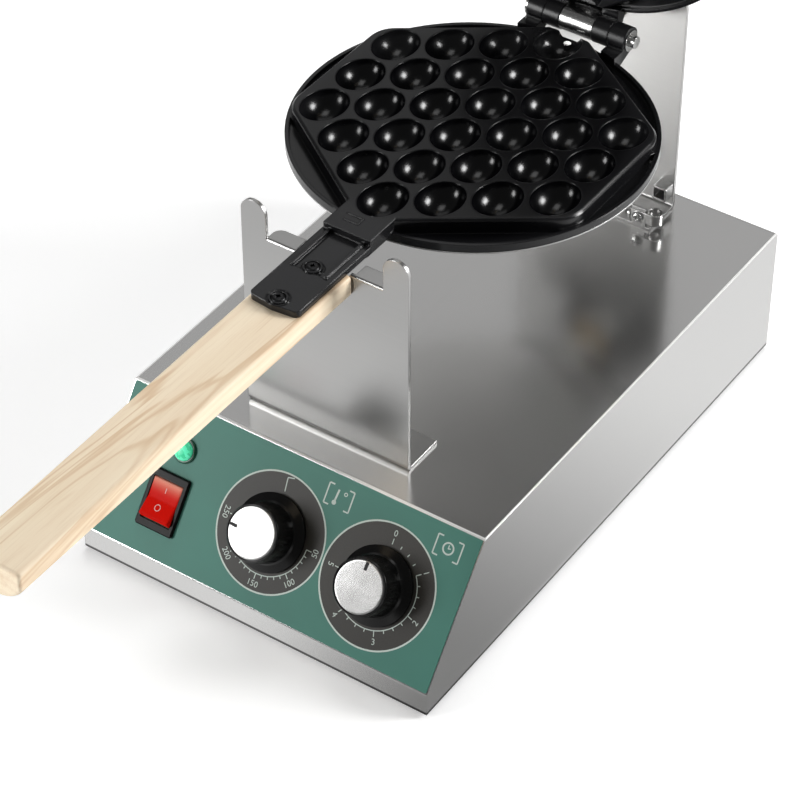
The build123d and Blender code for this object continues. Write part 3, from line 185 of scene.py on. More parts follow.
class ControlFinish(PropertyGroup):
    """The knobs' caps, the rocker and the pilot lamp."""

    cap_inset: FloatProperty(
        name="Cap inset", description="Black rim left round a cap on its knob",
        unit="LENGTH", min=0, default=0.0004,
    )
    cap_pitch: FloatProperty(
        name="Cap rings", description="Distance between the turned rings on a cap",
        unit="LENGTH", min=0.0002, default=0.0006,
    )
    cap_relief: FloatProperty(
        name="Ring depth", description="Depth of the turned rings",
        unit="LENGTH", min=0.0, default=0.000008, precision=6,
    )
    pointer_length: FloatProperty(
        name="Pointer length", description="Length of the dark pointer on a cap",
        unit="LENGTH", min=0.001, default=0.0044,
    )
    pointer_width: FloatProperty(
        name="Pointer width", description="Width of the dark pointer on a cap",
        unit="LENGTH", min=0.0003, default=0.0018,
    )
    cap_metal: FloatVectorProperty(
        name="Cap", description="Colour of the spun caps",
        subtype="COLOR", min=0, max=1, default=(0.46, 0.46, 0.455),
    )
    rocker_red: FloatVectorProperty(
        name="Rocker", description="Colour of the rocker's lens",
        subtype="COLOR", min=0, max=1, default=(0.62, 0.008, 0.004),
    )
    lamp_green: FloatVectorProperty(
        name="Lamp", description="Colour of the lit pilot lamp",
        subtype="COLOR", min=0, max=1, default=(0.05, 0.62, 0.31),
    )
    lens_facets: IntProperty(
        name="Lens facets", description="Cut facets in the outer ring of the lens",
        min=8, max=40, default=16,
    )


class MetalFinish(PropertyGroup):
    """The sheet steel, the casting and the small metal parts."""

    steel: FloatVectorProperty(
        name="Steel", description="Colour of the brushed sheet",
        subtype="COLOR", min=0, max=1, default=(0.6, 0.597, 0.59),
    )
    steel_roughness: FloatProperty(
        name="Steel roughness", description="Roughness of the brushed sheet",
        min=0, max=1, default=0.3,
    )
    coating: FloatVectorProperty(
        name="Coating", description="Colour of the moulds' dark coating",
        subtype="COLOR", min=0, max=1, default=(0.0011, 0.0011, 0.0016),
    )
    # painted light: a paler coating round the outside, lifting the shaded gutter and rim
    painted_light_coating: FloatVectorProperty(
        name="Dull coating", description="Colour of the coating round the outside, where it is rubbed dull",
        subtype="COLOR", min=0, max=1, default=(0.0095, 0.0095, 0.0105),
    )
    coating_roughness: FloatProperty(
        name="Coating roughness", description="Roughness of the moulds' coating",
        min=0, max=1, default=0.31,
    )
    cell_polish: FloatProperty(
        name="Cell polish", description="Share of that roughness left inside the cells",
        min=0, max=1, default=0.6,
    )
    # painted shadow: height of the dark line painted over the cabinet's foot
    foot_shadow_height: FloatProperty(
        name="Cut edge", description="Height of the dark cut edge round the foot of the cabinet",
        unit="LENGTH", min=0, default=0.0017, precision=5,
    )
    fold_edge: FloatProperty(
        name="Fold edge", description="How far the cabinet's folds look rounded",
        unit="LENGTH", min=0, default=0.001, precision=5,
    )
    # painted highlight: width of the pale line painted along each fold of the cabinet
    fold_highlight_width: FloatProperty(
        name="Fold line", description="Width of the bright line on each side of a fold of the cabinet",
        unit="LENGTH", min=0, default=0.0008, precision=5,
    )
    steel_metallic: FloatProperty(
        name="Steel metallic", description="How far the cabinet's sheet is bare metal",
        min=0, max=1, default=0.94,
    )
    cast_edge: FloatProperty(
        name="Cast edge", description="How far the casting's edges look rounded",
        unit="LENGTH", min=0, default=0.0011, precision=5,
    )
    soft_edge: FloatProperty(
        name="Soft edge", description="How far edges look broken",
        unit="LENGTH", min=0, default=0.0006, precision=5,
    )


class WoodFinish(PropertyGroup):
    """The pine of the handles."""

    early: FloatVectorProperty(
        name="Early wood", description="Colour of the pale wood",
        subtype="COLOR", min=0, max=1, default=(0.99, 0.84, 0.63),
    )
    late: FloatVectorProperty(
        name="Late wood", description="Colour of the darker rings",
        subtype="COLOR", min=0, max=1, default=(0.67, 0.42, 0.225),
    )
    ring_pitch: FloatProperty(
        name="Ring pitch", description="Distance between the growth rings",
        unit="LENGTH", min=0.001, default=0.0052,
    )


class StudioLight(PropertyGroup):
    """The floor, the lamps and the camera."""

    floor: FloatVectorProperty(
        name="Floor", description="Colour of the floor",
        subtype="COLOR", min=0, max=1, default=(0.93, 0.93, 0.93),
    )
    floor_glow: FloatProperty(
        name="Floor glow", description="How much the floor shines of itself, as a lit sweep does",
        min=0, default=0.3,
    )
    reflected_dark: FloatProperty(
        name="Reflected dark", description="Tone of the floor that polished faces mirror at the front right",
        min=0, default=0.28,
    )
    reflected_pale: FloatProperty(
        name="Reflected pale", description="Tone of the floor that polished faces mirror elsewhere",
        min=0, default=1.05,
    )
    ambient: FloatProperty(
        name="Ambient", description="Strength of the light from all round",
        min=0, default=0.1,
    )
    overhead: FloatProperty(
        name="Overhead", description="Power of the lamp overhead",
        subtype="POWER", unit="POWER", min=0, default=2.2,
    )
    front: FloatProperty(
        name="Front", description="Power of the tall lamp at the front left",
        subtype="POWER", unit="POWER", min=0, default=13.8,
    )
    rear: FloatProperty(
        name="Rear", description="Power of the lamp at the rear right",
        subtype="POWER", unit="POWER", min=0, default=24,
    )
    wall: FloatProperty(
        name="Wall", description="Power of the broad lamp at the rear left",
        subtype="POWER", unit="POWER", min=0, default=3.1,
    )
    fill: FloatProperty(
        name="Fill", description="Power of the broad light from above that casts no glint",
        subtype="POWER", unit="POWER", min=0, default=10,
    )
    lens: FloatProperty(
        name="Focal length", description="Focal length of the camera in millimetres",
        min=20, default=137.9,
    )


# ---------------------------------------------------------------- building finishes
class Finish:
    """A node material, built up from the surface inward."""

    def __init__(self, name, colour, roughness, metallic=0.0):
        self.material = bpy.data.materials.new(name)
        self.material.use_nodes = True
        self.nodes = self.material.node_tree.nodes
        self.links = self.material.node_tree.links
        self.shader = self.nodes["Principled BSDF"]
        self.put("Base Color", (*colour, 1))
        self.put("Roughness", roughness)
        self.put("Metallic", metallic)
        self.coordinates = self.add("ShaderNodeTexCoord")
        self.relief = None

    def add(self, kind, **settings):
        node = self.nodes.new(kind)
        for name, value in settings.items():
            setattr(node, name, value)
        return node

    def fill(self, socket, value):
        """Links a socket to another node's output, or sets its value."""
        if isinstance(value, bpy.types.NodeSocket):
            self.links.new(value, socket)
        else:
            socket.default_value = value

    def put(self, name, value):
        self.fill(self.shader.inputs[name], value)

    def place(self, scale=(1, 1, 1), turn=(0, 0, 0), shift=(0, 0, 0)):
        """The surface's own coordinates, shifted and turned and then scaled."""
        mapping = self.add("ShaderNodeMapping")
        mapping.inputs["Rotation"].default_value = turn
        mapping.inputs["Location"].default_value = shift
        self.links.new(self.coordinates.outputs["Object"], mapping.inputs["Vector"])
        stretch = self.add("ShaderNodeVectorMath", operation="MULTIPLY")
        self.links.new(mapping.outputs["Vector"], stretch.inputs[0])
        stretch.inputs[1].default_value = scale
        return stretch.outputs["Vector"]

    def noise(self, place, scale=1.0, detail=4.0, roughness=0.5, distortion=0.0):
        node = self.add("ShaderNodeTexNoise")
        self.fill(node.inputs["Vector"], place)
        node.inputs["Scale"].default_value = scale
        node.inputs["Detail"].default_value = detail
        node.inputs["Roughness"].default_value = roughness
        node.inputs["Distortion"].default_value = distortion
        return node.outputs["Fac"]

    def cells(self, place, scale=1.0, output="Distance"):
        node = self.add("ShaderNodeTexVoronoi")
        self.fill(node.inputs["Vector"], place)
        node.inputs["Scale"].default_value = scale
        return node.outputs[output]

    def levels(self, value, low, high, start=0.0, end=1.0, smooth=False):
        """A value between start and end, spread over low to high."""
        node = self.add("ShaderNodeMapRange")
        if smooth:
            node.interpolation_type = "SMOOTHSTEP"
        self.fill(node.inputs["Value"], value)
        node.inputs["From Min"].default_value = start
        node.inputs["From Max"].default_value = end
        node.inputs["To Min"].default_value = low
        node.inputs["To Max"].default_value = high
        return node.outputs["Result"]

    def work(self, operation, *values):
        node = self.add("ShaderNodeMath", operation=operation)
        for socket, value in zip(node.inputs, values):
            self.fill(socket, value)
        return node.outputs[0]

    def split(self, place):
        node = self.add("ShaderNodeSeparateXYZ")
        self.fill(node.inputs[0], place)
        return node.outputs

    def tint(self, factor, first, second):
        """Two colours, mixed by a factor."""
        node = self.add("ShaderNodeMix", data_type="RGBA")
        self.fill(node.inputs[0], factor)
        for socket, value in ((node.inputs[6], first), (node.inputs[7], second)):
            self.fill(socket, value if isinstance(value, bpy.types.NodeSocket) else (*value, 1))
        return node.outputs[2]

    def mottle(self, pattern, colour, dark, pale, start=0.3, end=0.7):
        """A colour that a pattern darkens and lightens by two shares."""
        return self.tint(self.levels(pattern, 0, 1, start, end), shade(colour, dark), shade(colour, pale))

    def radius(self, x, y):
        """How far a point of a plane lies from its origin."""
        squares = self.work("ADD", self.work("MULTIPLY", x, x), self.work("MULTIPLY", y, y))
        return self.work("SQRT", squares)

    def along(self, direction):
        """How far the surface lies along a direction."""
        node = self.add("ShaderNodeVectorMath", operation="DOT_PRODUCT")
        self.links.new(self.coordinates.outputs["Object"], node.inputs[0])
        node.inputs[1].default_value = direction
        return node.outputs["Value"]

    def away(self, point):
        """How far the surface lies from a point."""
        node = self.add("ShaderNodeVectorMath", operation="DISTANCE")
        self.links.new(self.coordinates.outputs["Object"], node.inputs[0])
        node.inputs[1].default_value = point
        return node.outputs["Value"]

    def lean(self, node):
        """The normal so far goes into a node, and the node's own takes its place."""
        if self.relief:
            self.links.new(self.relief, node.inputs["Normal"])
        self.relief = node.outputs["Normal"]
        self.put("Normal", self.relief)

    def soften(self, radius):
        """Edges that catch the light as if they were broken."""
        node = self.add("ShaderNodeBevel", samples=4)
        node.inputs["Radius"].default_value = radius
        self.lean(node)

    def emboss(self, height, depth, strength=1.0):
        """A height field over what is there already, depth in metres."""
        node = self.add("ShaderNodeBump")
        node.inputs["Strength"].default_value = strength
        node.inputs["Distance"].default_value = depth
        self.fill(node.inputs["Height"], height)
        self.lean(node)


def shade(colour, factor):
    """A colour, darker or lighter by a factor."""
    return tuple(min(1.0, part * factor) for part in colour)


def cabinet_painted_light(made, tone, metal):
    """Painted highlights along the cabinet's folds round its top, and a painted shadow line over its foot."""
    left, right = reach("base_casing", panel_right)
    rear = reach("base_casing", Vector((0, 1, 0)))[1]
    foot, top = reach("base_casing", upward)
    front = (main_face("base_casing", panel_out)[0] - top * panel_out.z) / panel_out.y
    x, y, z = made.split(made.place())
    across = made.work("MINIMUM", made.work("SUBTRACT", right, x), made.work("SUBTRACT", x, left))
    length = made.work("MINIMUM", made.work("SUBTRACT", y, front), made.work("SUBTRACT", rear, y))
    inward = made.work("MINIMUM", across, length)
    from_fold = made.work("MAXIMUM", made.work("SUBTRACT", top, z), inward)
    # painted highlight: a pale, less metallic band along each fold, standing in for the light the folds catch
    fold = made.levels(from_fold, 1, 0, metal.fold_highlight_width * 0.8, metal.fold_highlight_width * 1.2)
    made.put("Metallic", made.levels(fold, metal.steel_metallic, 0.2))
    tone = made.tint(fold, tone, shade(metal.steel, 1.55))
    # painted shadow: a dark band over the foot, standing in for the shadow in the gap under the cabinet
    cut = made.levels(z, 0.9, 0, foot + metal.foot_shadow_height * 0.85, foot + metal.foot_shadow_height * 1.15)
    return made.tint(cut, tone, shade(metal.steel, 0.04))


def brushed_sheet(name, colour, roughness, soft_edge, grain_along="Y", painted_lines=None):
    """Stainless sheet with its grain along one axis, handled but clean; painted highlight and shadow lines are
    drawn into its tone.
    """
    made = Finish(name, colour, roughness, 1.0)
    grain_length, grain_width = 14, 2600
    stretch = [grain_length if axis == grain_along else grain_width for axis in "XYZ"]
    grain = made.noise(made.place(stretch), 1.0, 3.0, 0.6)
    handled = made.noise(made.place((9, 7, 9)), 1.0, 5.0, 0.55, 0.4)
    tone = made.mottle(grain, colour, 0.985, 1.012)
    if painted_lines:
        tone = painted_lines(made, tone)
    made.put("Base Color", tone)
    uneven = made.levels(handled, roughness * 0.94, roughness * 1.08, 0.3, 0.7)
    made.put("Roughness", made.work("ADD", uneven, made.levels(grain, -0.01, 0.01)))
    made.soften(soft_edge)
    made.emboss(grain, 0.000001, 0.1)
    return made.material


def coated_casting(name, metal, out, level, middle):
    """Dark non-stick coating over a cast mould, smoother inside the cells, and painted paler round the outside
    to stand in for light on its shaded gutter and rim.
    """
    colour, roughness = metal.coating, metal.coating_roughness
    cell_floor, cell_lip = level - 0.0014, level - 0.0002
    light_lift_from, light_lift_to = 0.078, 0.095
    made = Finish(name, colour, roughness)
    inside = made.levels(made.along(out), 1, 0, cell_floor, cell_lip, True)
    outside = made.levels(made.away(middle), 0, 1, light_lift_from, light_lift_to, True)
    pebble = made.noise(made.place(), 1500.0, 3.0, 0.6)
    cloud = made.noise(made.place(), 22.0, 4.0, 0.6, 0.5)
    scuffs = made.noise(made.place((40, 900, 900), (0.2, 0.1, 0.5)), 1.0, 5.0, 0.7)
    rubbed = made.levels(scuffs, 0, 1, 0.6, 0.78)
    # painted light: the coating is paler beyond the cells' field, so the shaded gutter and rim read lighter
    made.put("Base Color", made.tint(outside, made.mottle(cloud, colour, 0.8, 1.3), metal.painted_light_coating))
    worn = made.levels(cloud, roughness * 0.88, roughness * 1.15, 0.3, 0.7)
    smoothed = made.work("MULTIPLY", worn, made.levels(inside, 1, metal.cell_polish))
    made.put("Roughness", made.work("ADD", smoothed, made.work("MULTIPLY", rubbed, 0.08)))
    made.put("Specular IOR Level", 0.48)
    made.soften(metal.cast_edge)
    made.emboss(pebble, 0.00003, 0.2)
    return made.material


def bright_metal(name, colour, roughness, scale=900.0):
    """Plated or turned small parts."""
    made = Finish(name, colour, roughness, 1.0)
    speck = made.noise(made.place(), scale, 4.0, 0.6)
    made.put("Base Color", made.mottle(speck, colour, 0.82, 1.08))
    made.put("Roughness", made.levels(speck, roughness * 0.8, roughness * 1.25, 0.3, 0.7))
    made.soften(0.00015)
    made.emboss(speck, 0.00001, 0.3)
    return made.material


def moulded_plastic(name, colour, roughness, specular=0.5):
    """Moulded plastic or rubber with the fine skin of its tool."""
    made = Finish(name, colour, roughness)
    made.put("Specular IOR Level", specular)
    grain = made.noise(made.place(), 1800.0, 3.0, 0.6)
    haze = made.noise(made.place(), 60.0, 3.0, 0.5)
    made.put("Base Color", made.mottle(haze, colour, 0.85, 1.2))
    made.put("Roughness", made.levels(haze, roughness * 0.9, roughness * 1.12, 0.3, 0.7))
    made.soften(0.0002)
    made.emboss(grain, 0.00003, 0.2)
    return made.material


def sanded_pine(name, wood, lengthwise, pith):
    """Sanded pine: growth rings round a pith line, fibres along it, a few pin knots."""
    turn = lengthwise.rotation_difference(Vector((1, 0, 0)))
    made = Finish(name, wood.early, 0.55)

    def lengthened(along, across):
        return made.place((along, across, across), turn.to_euler(), -(turn @ pith))

    rings = made.add("ShaderNodeTexWave", wave_type="RINGS", rings_direction="X", wave_profile="SIN")
    made.fill(rings.inputs["Vector"], lengthened(0.06, 1))
    for setting, value in (
        ("Scale", 0.314 / wood.ring_pitch), ("Distortion", 4.5),
        ("Detail", 2.0), ("Detail Scale", 0.35), ("Detail Roughness", 0.45),
    ):
        rings.inputs[setting].default_value = value
    fibre = made.noise(lengthened(30, 760), 1.0, 4.0, 0.65)
    streak = made.noise(lengthened(5, 110), 1.0, 3.0, 0.5, 0.2)
    patch = made.noise(lengthened(9, 30), 1.0, 2.0, 0.5)
    knot_place = lengthened(16, 48)
    knots = made.cells(knot_place, 1.0)
    chosen = made.split(made.cells(knot_place, 1.0, "Color"))[0]
    spot, kept = made.levels(knots, 1, 0, 0.03, 0.075, True), made.levels(chosen, 0, 1, 0.5, 0.52)
    knot = made.work("MULTIPLY", spot, kept)
    figure = made.noise(lengthened(4.2, 32), 1.0, 3.0, 0.45, 1.2)
    off_vein = made.work("ABSOLUTE", made.work("SUBTRACT", figure, 0.5))
    vein = made.levels(off_vein, 1, 0, 0.0, 0.038, True)
    ring = made.levels(rings.outputs["Fac"], 0, 1, 0.35, 1.0, True)
    colour = made.tint(made.work("MULTIPLY", ring, 0.12), wood.early, wood.late)
    colour = made.tint(made.work("MULTIPLY", vein, 0.55), colour, wood.late)
    colour = made.tint(made.levels(streak, 0, 0.38, 0.52, 0.76), colour, wood.late)
    colour = made.tint(made.levels(fibre, 0, 0.26, 0.5, 0.8), colour, shade(wood.late, 0.85))
    colour = made.tint(made.levels(patch, 0, 0.3, 0.45, 0.7), colour, shade(wood.early, 1.07))
    colour = made.tint(made.work("MULTIPLY", knot, 0.75), colour, shade(wood.late, 0.45))
    made.put("Base Color", colour)
    made.put("Roughness", made.levels(fibre, 0.48, 0.66, 0.3, 0.7))
    made.emboss(fibre, 0.00006, 0.35)
    return made.material


def printed_film(name, colour):
    """Polyester film printed on its back: matt, with a faint orange peel."""
    made = Finish(name, colour, 0.48)
    peel = made.noise(made.place(), 900.0, 2.0, 0.5)
    cloud = made.noise(made.place(), 25.0, 3.0, 0.5)
    made.put("Base Color", made.mottle(cloud, colour, 0.95, 1.05, 0.35, 0.65))
    made.put("Roughness", made.levels(cloud, 0.36, 0.44))
    made.put("Specular IOR Level", 0.22)
    made.emboss(peel, 0.00003, 0.15)
    return made.material


def screen_ink(name, colour):
    """A thin coat of ink, a little uneven."""
    made = Finish(name, colour, 0.5)
    grain = made.noise(made.place(), 2400.0, 3.0, 0.6)
    made.put("Base Color", made.mottle(grain, colour, 0.86, 1.08))
    made.put("Roughness", made.levels(grain, 0.42, 0.58))
    made.put("Specular IOR Level", 0.2)
    return made.material


def wear(obj, material):
    """Every slot of a piece gets the one material."""
    if not obj.data.materials:
        obj.data.materials.append(material)
    for index in range(len(obj.data.materials)):
        obj.data.materials[index] = material
    for holder in obj.material_slots:
        holder.material = material


def wear_nodes(material, *names):
    """The named solids get a material."""
    for name in names:
        wear(frame["nodes"][name], material)


# ---------------------------------------------------------------- building pieces
def new_piece(name, mesh, material, body, matrix=None, smooth=True):
    """An object from a bmesh, in its finish, on its body."""
    data = bpy.data.meshes.new(name)
    bmesh.ops.recalc_face_normals(mesh, faces=mesh.faces)
    mesh.to_mesh(data)
    mesh.free()
    for face in data.polygons:
        face.use_smooth = smooth
    piece = bpy.data.objects.new(name, data)
    bpy.context.scene.collection.objects.link(piece)
    if matrix is not None:
        piece.matrix_world = matrix
    wear(piece, material)
    bpy.context.view_layer.update()
    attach(piece, body)
    return piece


def panel_matrix(centre, turn=0.0):
    """Local X and Y on the panel's plane and Z out of it, turned by degrees."""
    angle = math.radians(turn)
    across = panel_right * math.cos(angle) + panel_up * math.sin(angle)
    rise = panel_out.cross(across)
    made = Matrix((across, rise, panel_out)).transposed().to_4x4()
    made.translation = centre
    return made


def on_circle(radius, angle):
    """A point on a circle round the origin, by degrees."""
    return radius * math.cos(math.radians(angle)), radius * math.sin(math.radians(angle))


class Print:
    """Flat ink shapes on a plane, in its own x and y."""

    def __init__(self):
        self.mesh = bmesh.new()

    def shape(self, points):
        self.mesh.faces.new([self.mesh.verts.new((x, y, 0)) for x, y in points])

    def bar(self, start, end, width):
        start, end = Vector(start), Vector(end)
        side = (end - start).normalized().orthogonal() * width / 2
        self.shape([start + side, start - side, end - side, end + side])

    def arc(self, centre, radius, width, first=0.0, last=360.0, steps=96):
        middle, outer = Vector(centre), radius + width
        angles = [first + (last - first) * step / steps for step in range(steps + 1)]
        for before, after in zip(angles, angles[1:]):
            corners = ((radius, before), (outer, before), (outer, after), (radius, after))
            self.shape([middle + Vector(on_circle(r, angle)) for r, angle in corners])

    def disc(self, centre, radius, steps=24):
        self.shape([Vector(centre) + Vector(on_circle(radius, 360 * step / steps)) for step in range(steps)])

    def thicken(self, height):
        """Turns the flat shapes into plates, from their plane to a height."""
        made = bmesh.ops.extrude_face_region(self.mesh, geom=self.mesh.faces[:])
        moved = [part for part in made["geom"] if isinstance(part, bmesh.types.BMVert)]
        bmesh.ops.translate(self.mesh, verts=moved, vec=(0, 0, height))

    def words(self, text, centre, height, turn=0.0):
        """Numbers, centred on a point and turned by degrees."""
        curve = bpy.data.curves.new("letters", "FONT")
        curve.body = text
        curve.size = height * 1.4
        curve.align_x = "CENTER"
        curve.align_y = "CENTER"
        curve.resolution_u = 4
        carrier = bpy.data.objects.new("letters", curve)
        data = bpy.data.meshes.new_from_object(carrier)
        data.transform(Matrix.Translation((*centre, 0)) @ Matrix.Rotation(math.radians(turn), 4, "Z"))
        self.mesh.from_mesh(data)
        bpy.data.meshes.remove(data)
        bpy.data.objects.remove(carrier)
        bpy.data.curves.remove(curve)

    def lay(self, node, matrix, gap):
        """Drops the shapes along the plane's normal onto a node, gap above its face."""
        out = matrix.to_3x3() @ upward
        target = frame["nodes"][node]
        longest, clear = 0.0008, 0.05
        bmesh.ops.triangulate(self.mesh, faces=self.mesh.faces)
        for _ in range(3):
            edges = [edge for edge in self.mesh.edges if edge.calc_length() > longest]
            if edges:
                bmesh.ops.subdivide_edges(self.mesh, edges=edges, cuts=1)
        for vertex in self.mesh.verts:
            start = matrix @ vertex.co + out * clear
            hit, place, _, _ = target.ray_cast(start, -out)
            if not hit:
                raise RuntimeError(f"a mark misses {node}")
            vertex.co = matrix.inverted() @ (place + out * gap)


def turned(rings, steps=96):
    """A solid of revolution about Z from (radius, height) pairs, closed where the radius is 0."""
    mesh = bmesh.new()
    before = None
    for radius, height in rings:
        if radius == 0:
            row = [mesh.verts.new((0, 0, height))]
        else:
            row = [mesh.verts.new((*on_circle(radius, 360 * step / steps), height)) for step in range(steps)]
        if before is not None:
            for step in range(steps):
                after = (step + 1) % steps
                corners = [ring[place % len(ring)] for ring, place in (
                    (before, step), (before, after), (row, after), (row, step),
                )]
                kept = [corner for index, corner in enumerate(corners) if corner not in corners[:index]]
                if len(kept) > 2:
                    mesh.faces.new(kept)
        before = row
    return mesh


# ---------------------------------------------------------------- operators
class WAFFLE_OT_moulds(Operator):
    """Coats the two cast moulds and raises the small marks on the lower one"""

    bl_idname = "waffle.moulds"
    bl_label = "Coat the moulds"

    def execute(self, context):
        metal = context.scene.waffle_metal
        for node, out in (("lower_mould_plate", upward), ("upper_mould_plate", lid_opened @ -upward)):
            level, middle = main_face(node, out)
            coat = coated_casting(node + "_coat", metal, out, level, middle)
            wear_nodes(coat, node)
            if out is upward:
                self.neck_mark(coat, level)
                self.screw_rings(coat)
        return {"FINISHED"}

    def neck_mark(self, coat, level):
        """Two short bars joined at one end, cast on the neck, lower than the gap to the upper mould."""
        width, thickness, sunk = 0.0013, 0.0003, 0.0001
        mark = Print()
        for start, end in (
            ((-0.0085, -0.0724), (0.0008, -0.0724)),
            ((-0.0072, -0.0772), (0.0008, -0.0772)),
            ((0.0014, -0.0718), (0.0014, -0.0778)),
        ):
            mark.bar(start, end, width)
        mark.thicken(thickness)
        place = Matrix.Translation((0, 0, level - sunk))
        new_piece("neck_mark", mark.mesh, coat, "pan", place, False)

    def screw_rings(self, coat):
        """A low rim cast round each of the handle's screws."""
        profile = [
            (0.0056, -0.0002), (0.0057, 0.0003), (0.006, 0.0005), (0.0064, 0.0003), (0.0066, -0.0002),
            (0.0056, -0.0002),
        ]
        beside, above = 0.0062, 0.02
        low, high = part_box("lower_handle_screws")
        x, radius = (low.x + high.x) / 2, (high.x - low.x) / 2
        plate = frame["nodes"]["lower_mould_plate"]
        for number, y in enumerate((low.y + radius, high.y - radius), 1):
            seat = plate.ray_cast(Vector((x + beside, y, high.z + above)), -upward)[1]
            place = Matrix.Translation((x, y, seat.z))
            new_piece(f"screw_rim_{number}", turned(profile, 64), coat, "pan", place)


class WAFFLE_OT_sheet_steel(Operator):
    """Brushes the cabinet, the brackets and the mould covers"""

    bl_idname = "waffle.sheet_steel"
    bl_label = "Brush the sheet steel"

    def execute(self, context):
        metal = context.scene.waffle_metal
        steel, roughness, edge = metal.steel, metal.steel_roughness, metal.soft_edge

        # the cabinet's painted fold highlights and painted foot shadow
        def painted_lines(made, tone):
            return cabinet_painted_light(made, tone, metal)

        cabinet = brushed_sheet("cabinet_steel", steel, roughness * 0.55, metal.fold_edge, "Y", painted_lines)
        brackets = brushed_sheet("bracket_steel", shade(steel, 0.89), roughness, edge, "X")
        covers = brushed_sheet("cover_steel", shade(steel, 0.92), roughness * 1.15, edge, "Y")
        wear_nodes(cabinet, "base_casing", "bottom_plate")
        wear_nodes(brackets, "front_bracket", "rear_bracket", "lead_guide", "lead_clip")
        wear_nodes(covers, "lower_cover", "upper_cover")
        return {"FINISHED"}


class WAFFLE_OT_hardware(Operator):
    """Finishes the screws, the pivot, the heaters and the fittings"""

    bl_idname = "waffle.hardware"
    bl_label = "Finish the hardware"

    def execute(self, context):
        for finish, names in (
            (
                bright_metal("bright_steel", (0.72, 0.72, 0.71), 0.22),
                """bottom_screws bracket_screws bracket_nuts clip_screw bush_locknut control_nuts
                lower_cover_screws upper_cover_screws hinge_pin pin_clip shaft_collar collar_set_screw
                thermostat_shaft timer_shaft pivot_block""",
            ),
            (
                bright_metal("blackened_steel", (0.05, 0.05, 0.052), 0.36),
                "lower_handle_screws upper_handle_screws",
            ),
            (bright_metal("bronze", (0.6, 0.42, 0.2), 0.3), "bearing_bush"),
            (bright_metal("heater_sheath", (0.3, 0.27, 0.24), 0.45, 300.0), "lower_heater upper_heater"),
            (moulded_plastic("rubber", (0.022, 0.022, 0.023), 0.75), "rubber_feet lead_grommet"),
            (moulded_plastic("block_plastic", (0.8, 0.79, 0.74), 0.4), "terminal_block"),
            (
                moulded_plastic("fitting_plastic", (0.012, 0.012, 0.012), 0.42),
                "cord_gland gland_locknut thermostat_body timer_body",
            ),
        ):
            wear_nodes(finish, *names.split())
        return {"FINISHED"}


class WAFFLE_OT_handles(Operator):
    """Gives each handle its own piece of pine"""

    bl_idname = "waffle.handles"
    bl_label = "Cut the handles"

    def execute(self, context):
        wood = context.scene.waffle_wood
        lengthwise = Vector((0, -1, 0))
        for node, box, run, pith in (
            ("lower_handle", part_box("lower_handle"), lengthwise, Vector((0.006, 0, -0.019))),
            ("upper_handle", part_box("upper_handle"), lid_opened @ lengthwise, Vector((-0.004, -0.021, 0))),
        ):
            low, high = box
            wear_nodes(sanded_pine(node + "_pine", wood, run, (low + high) / 2 + pith), node)
        return {"FINISHED"}


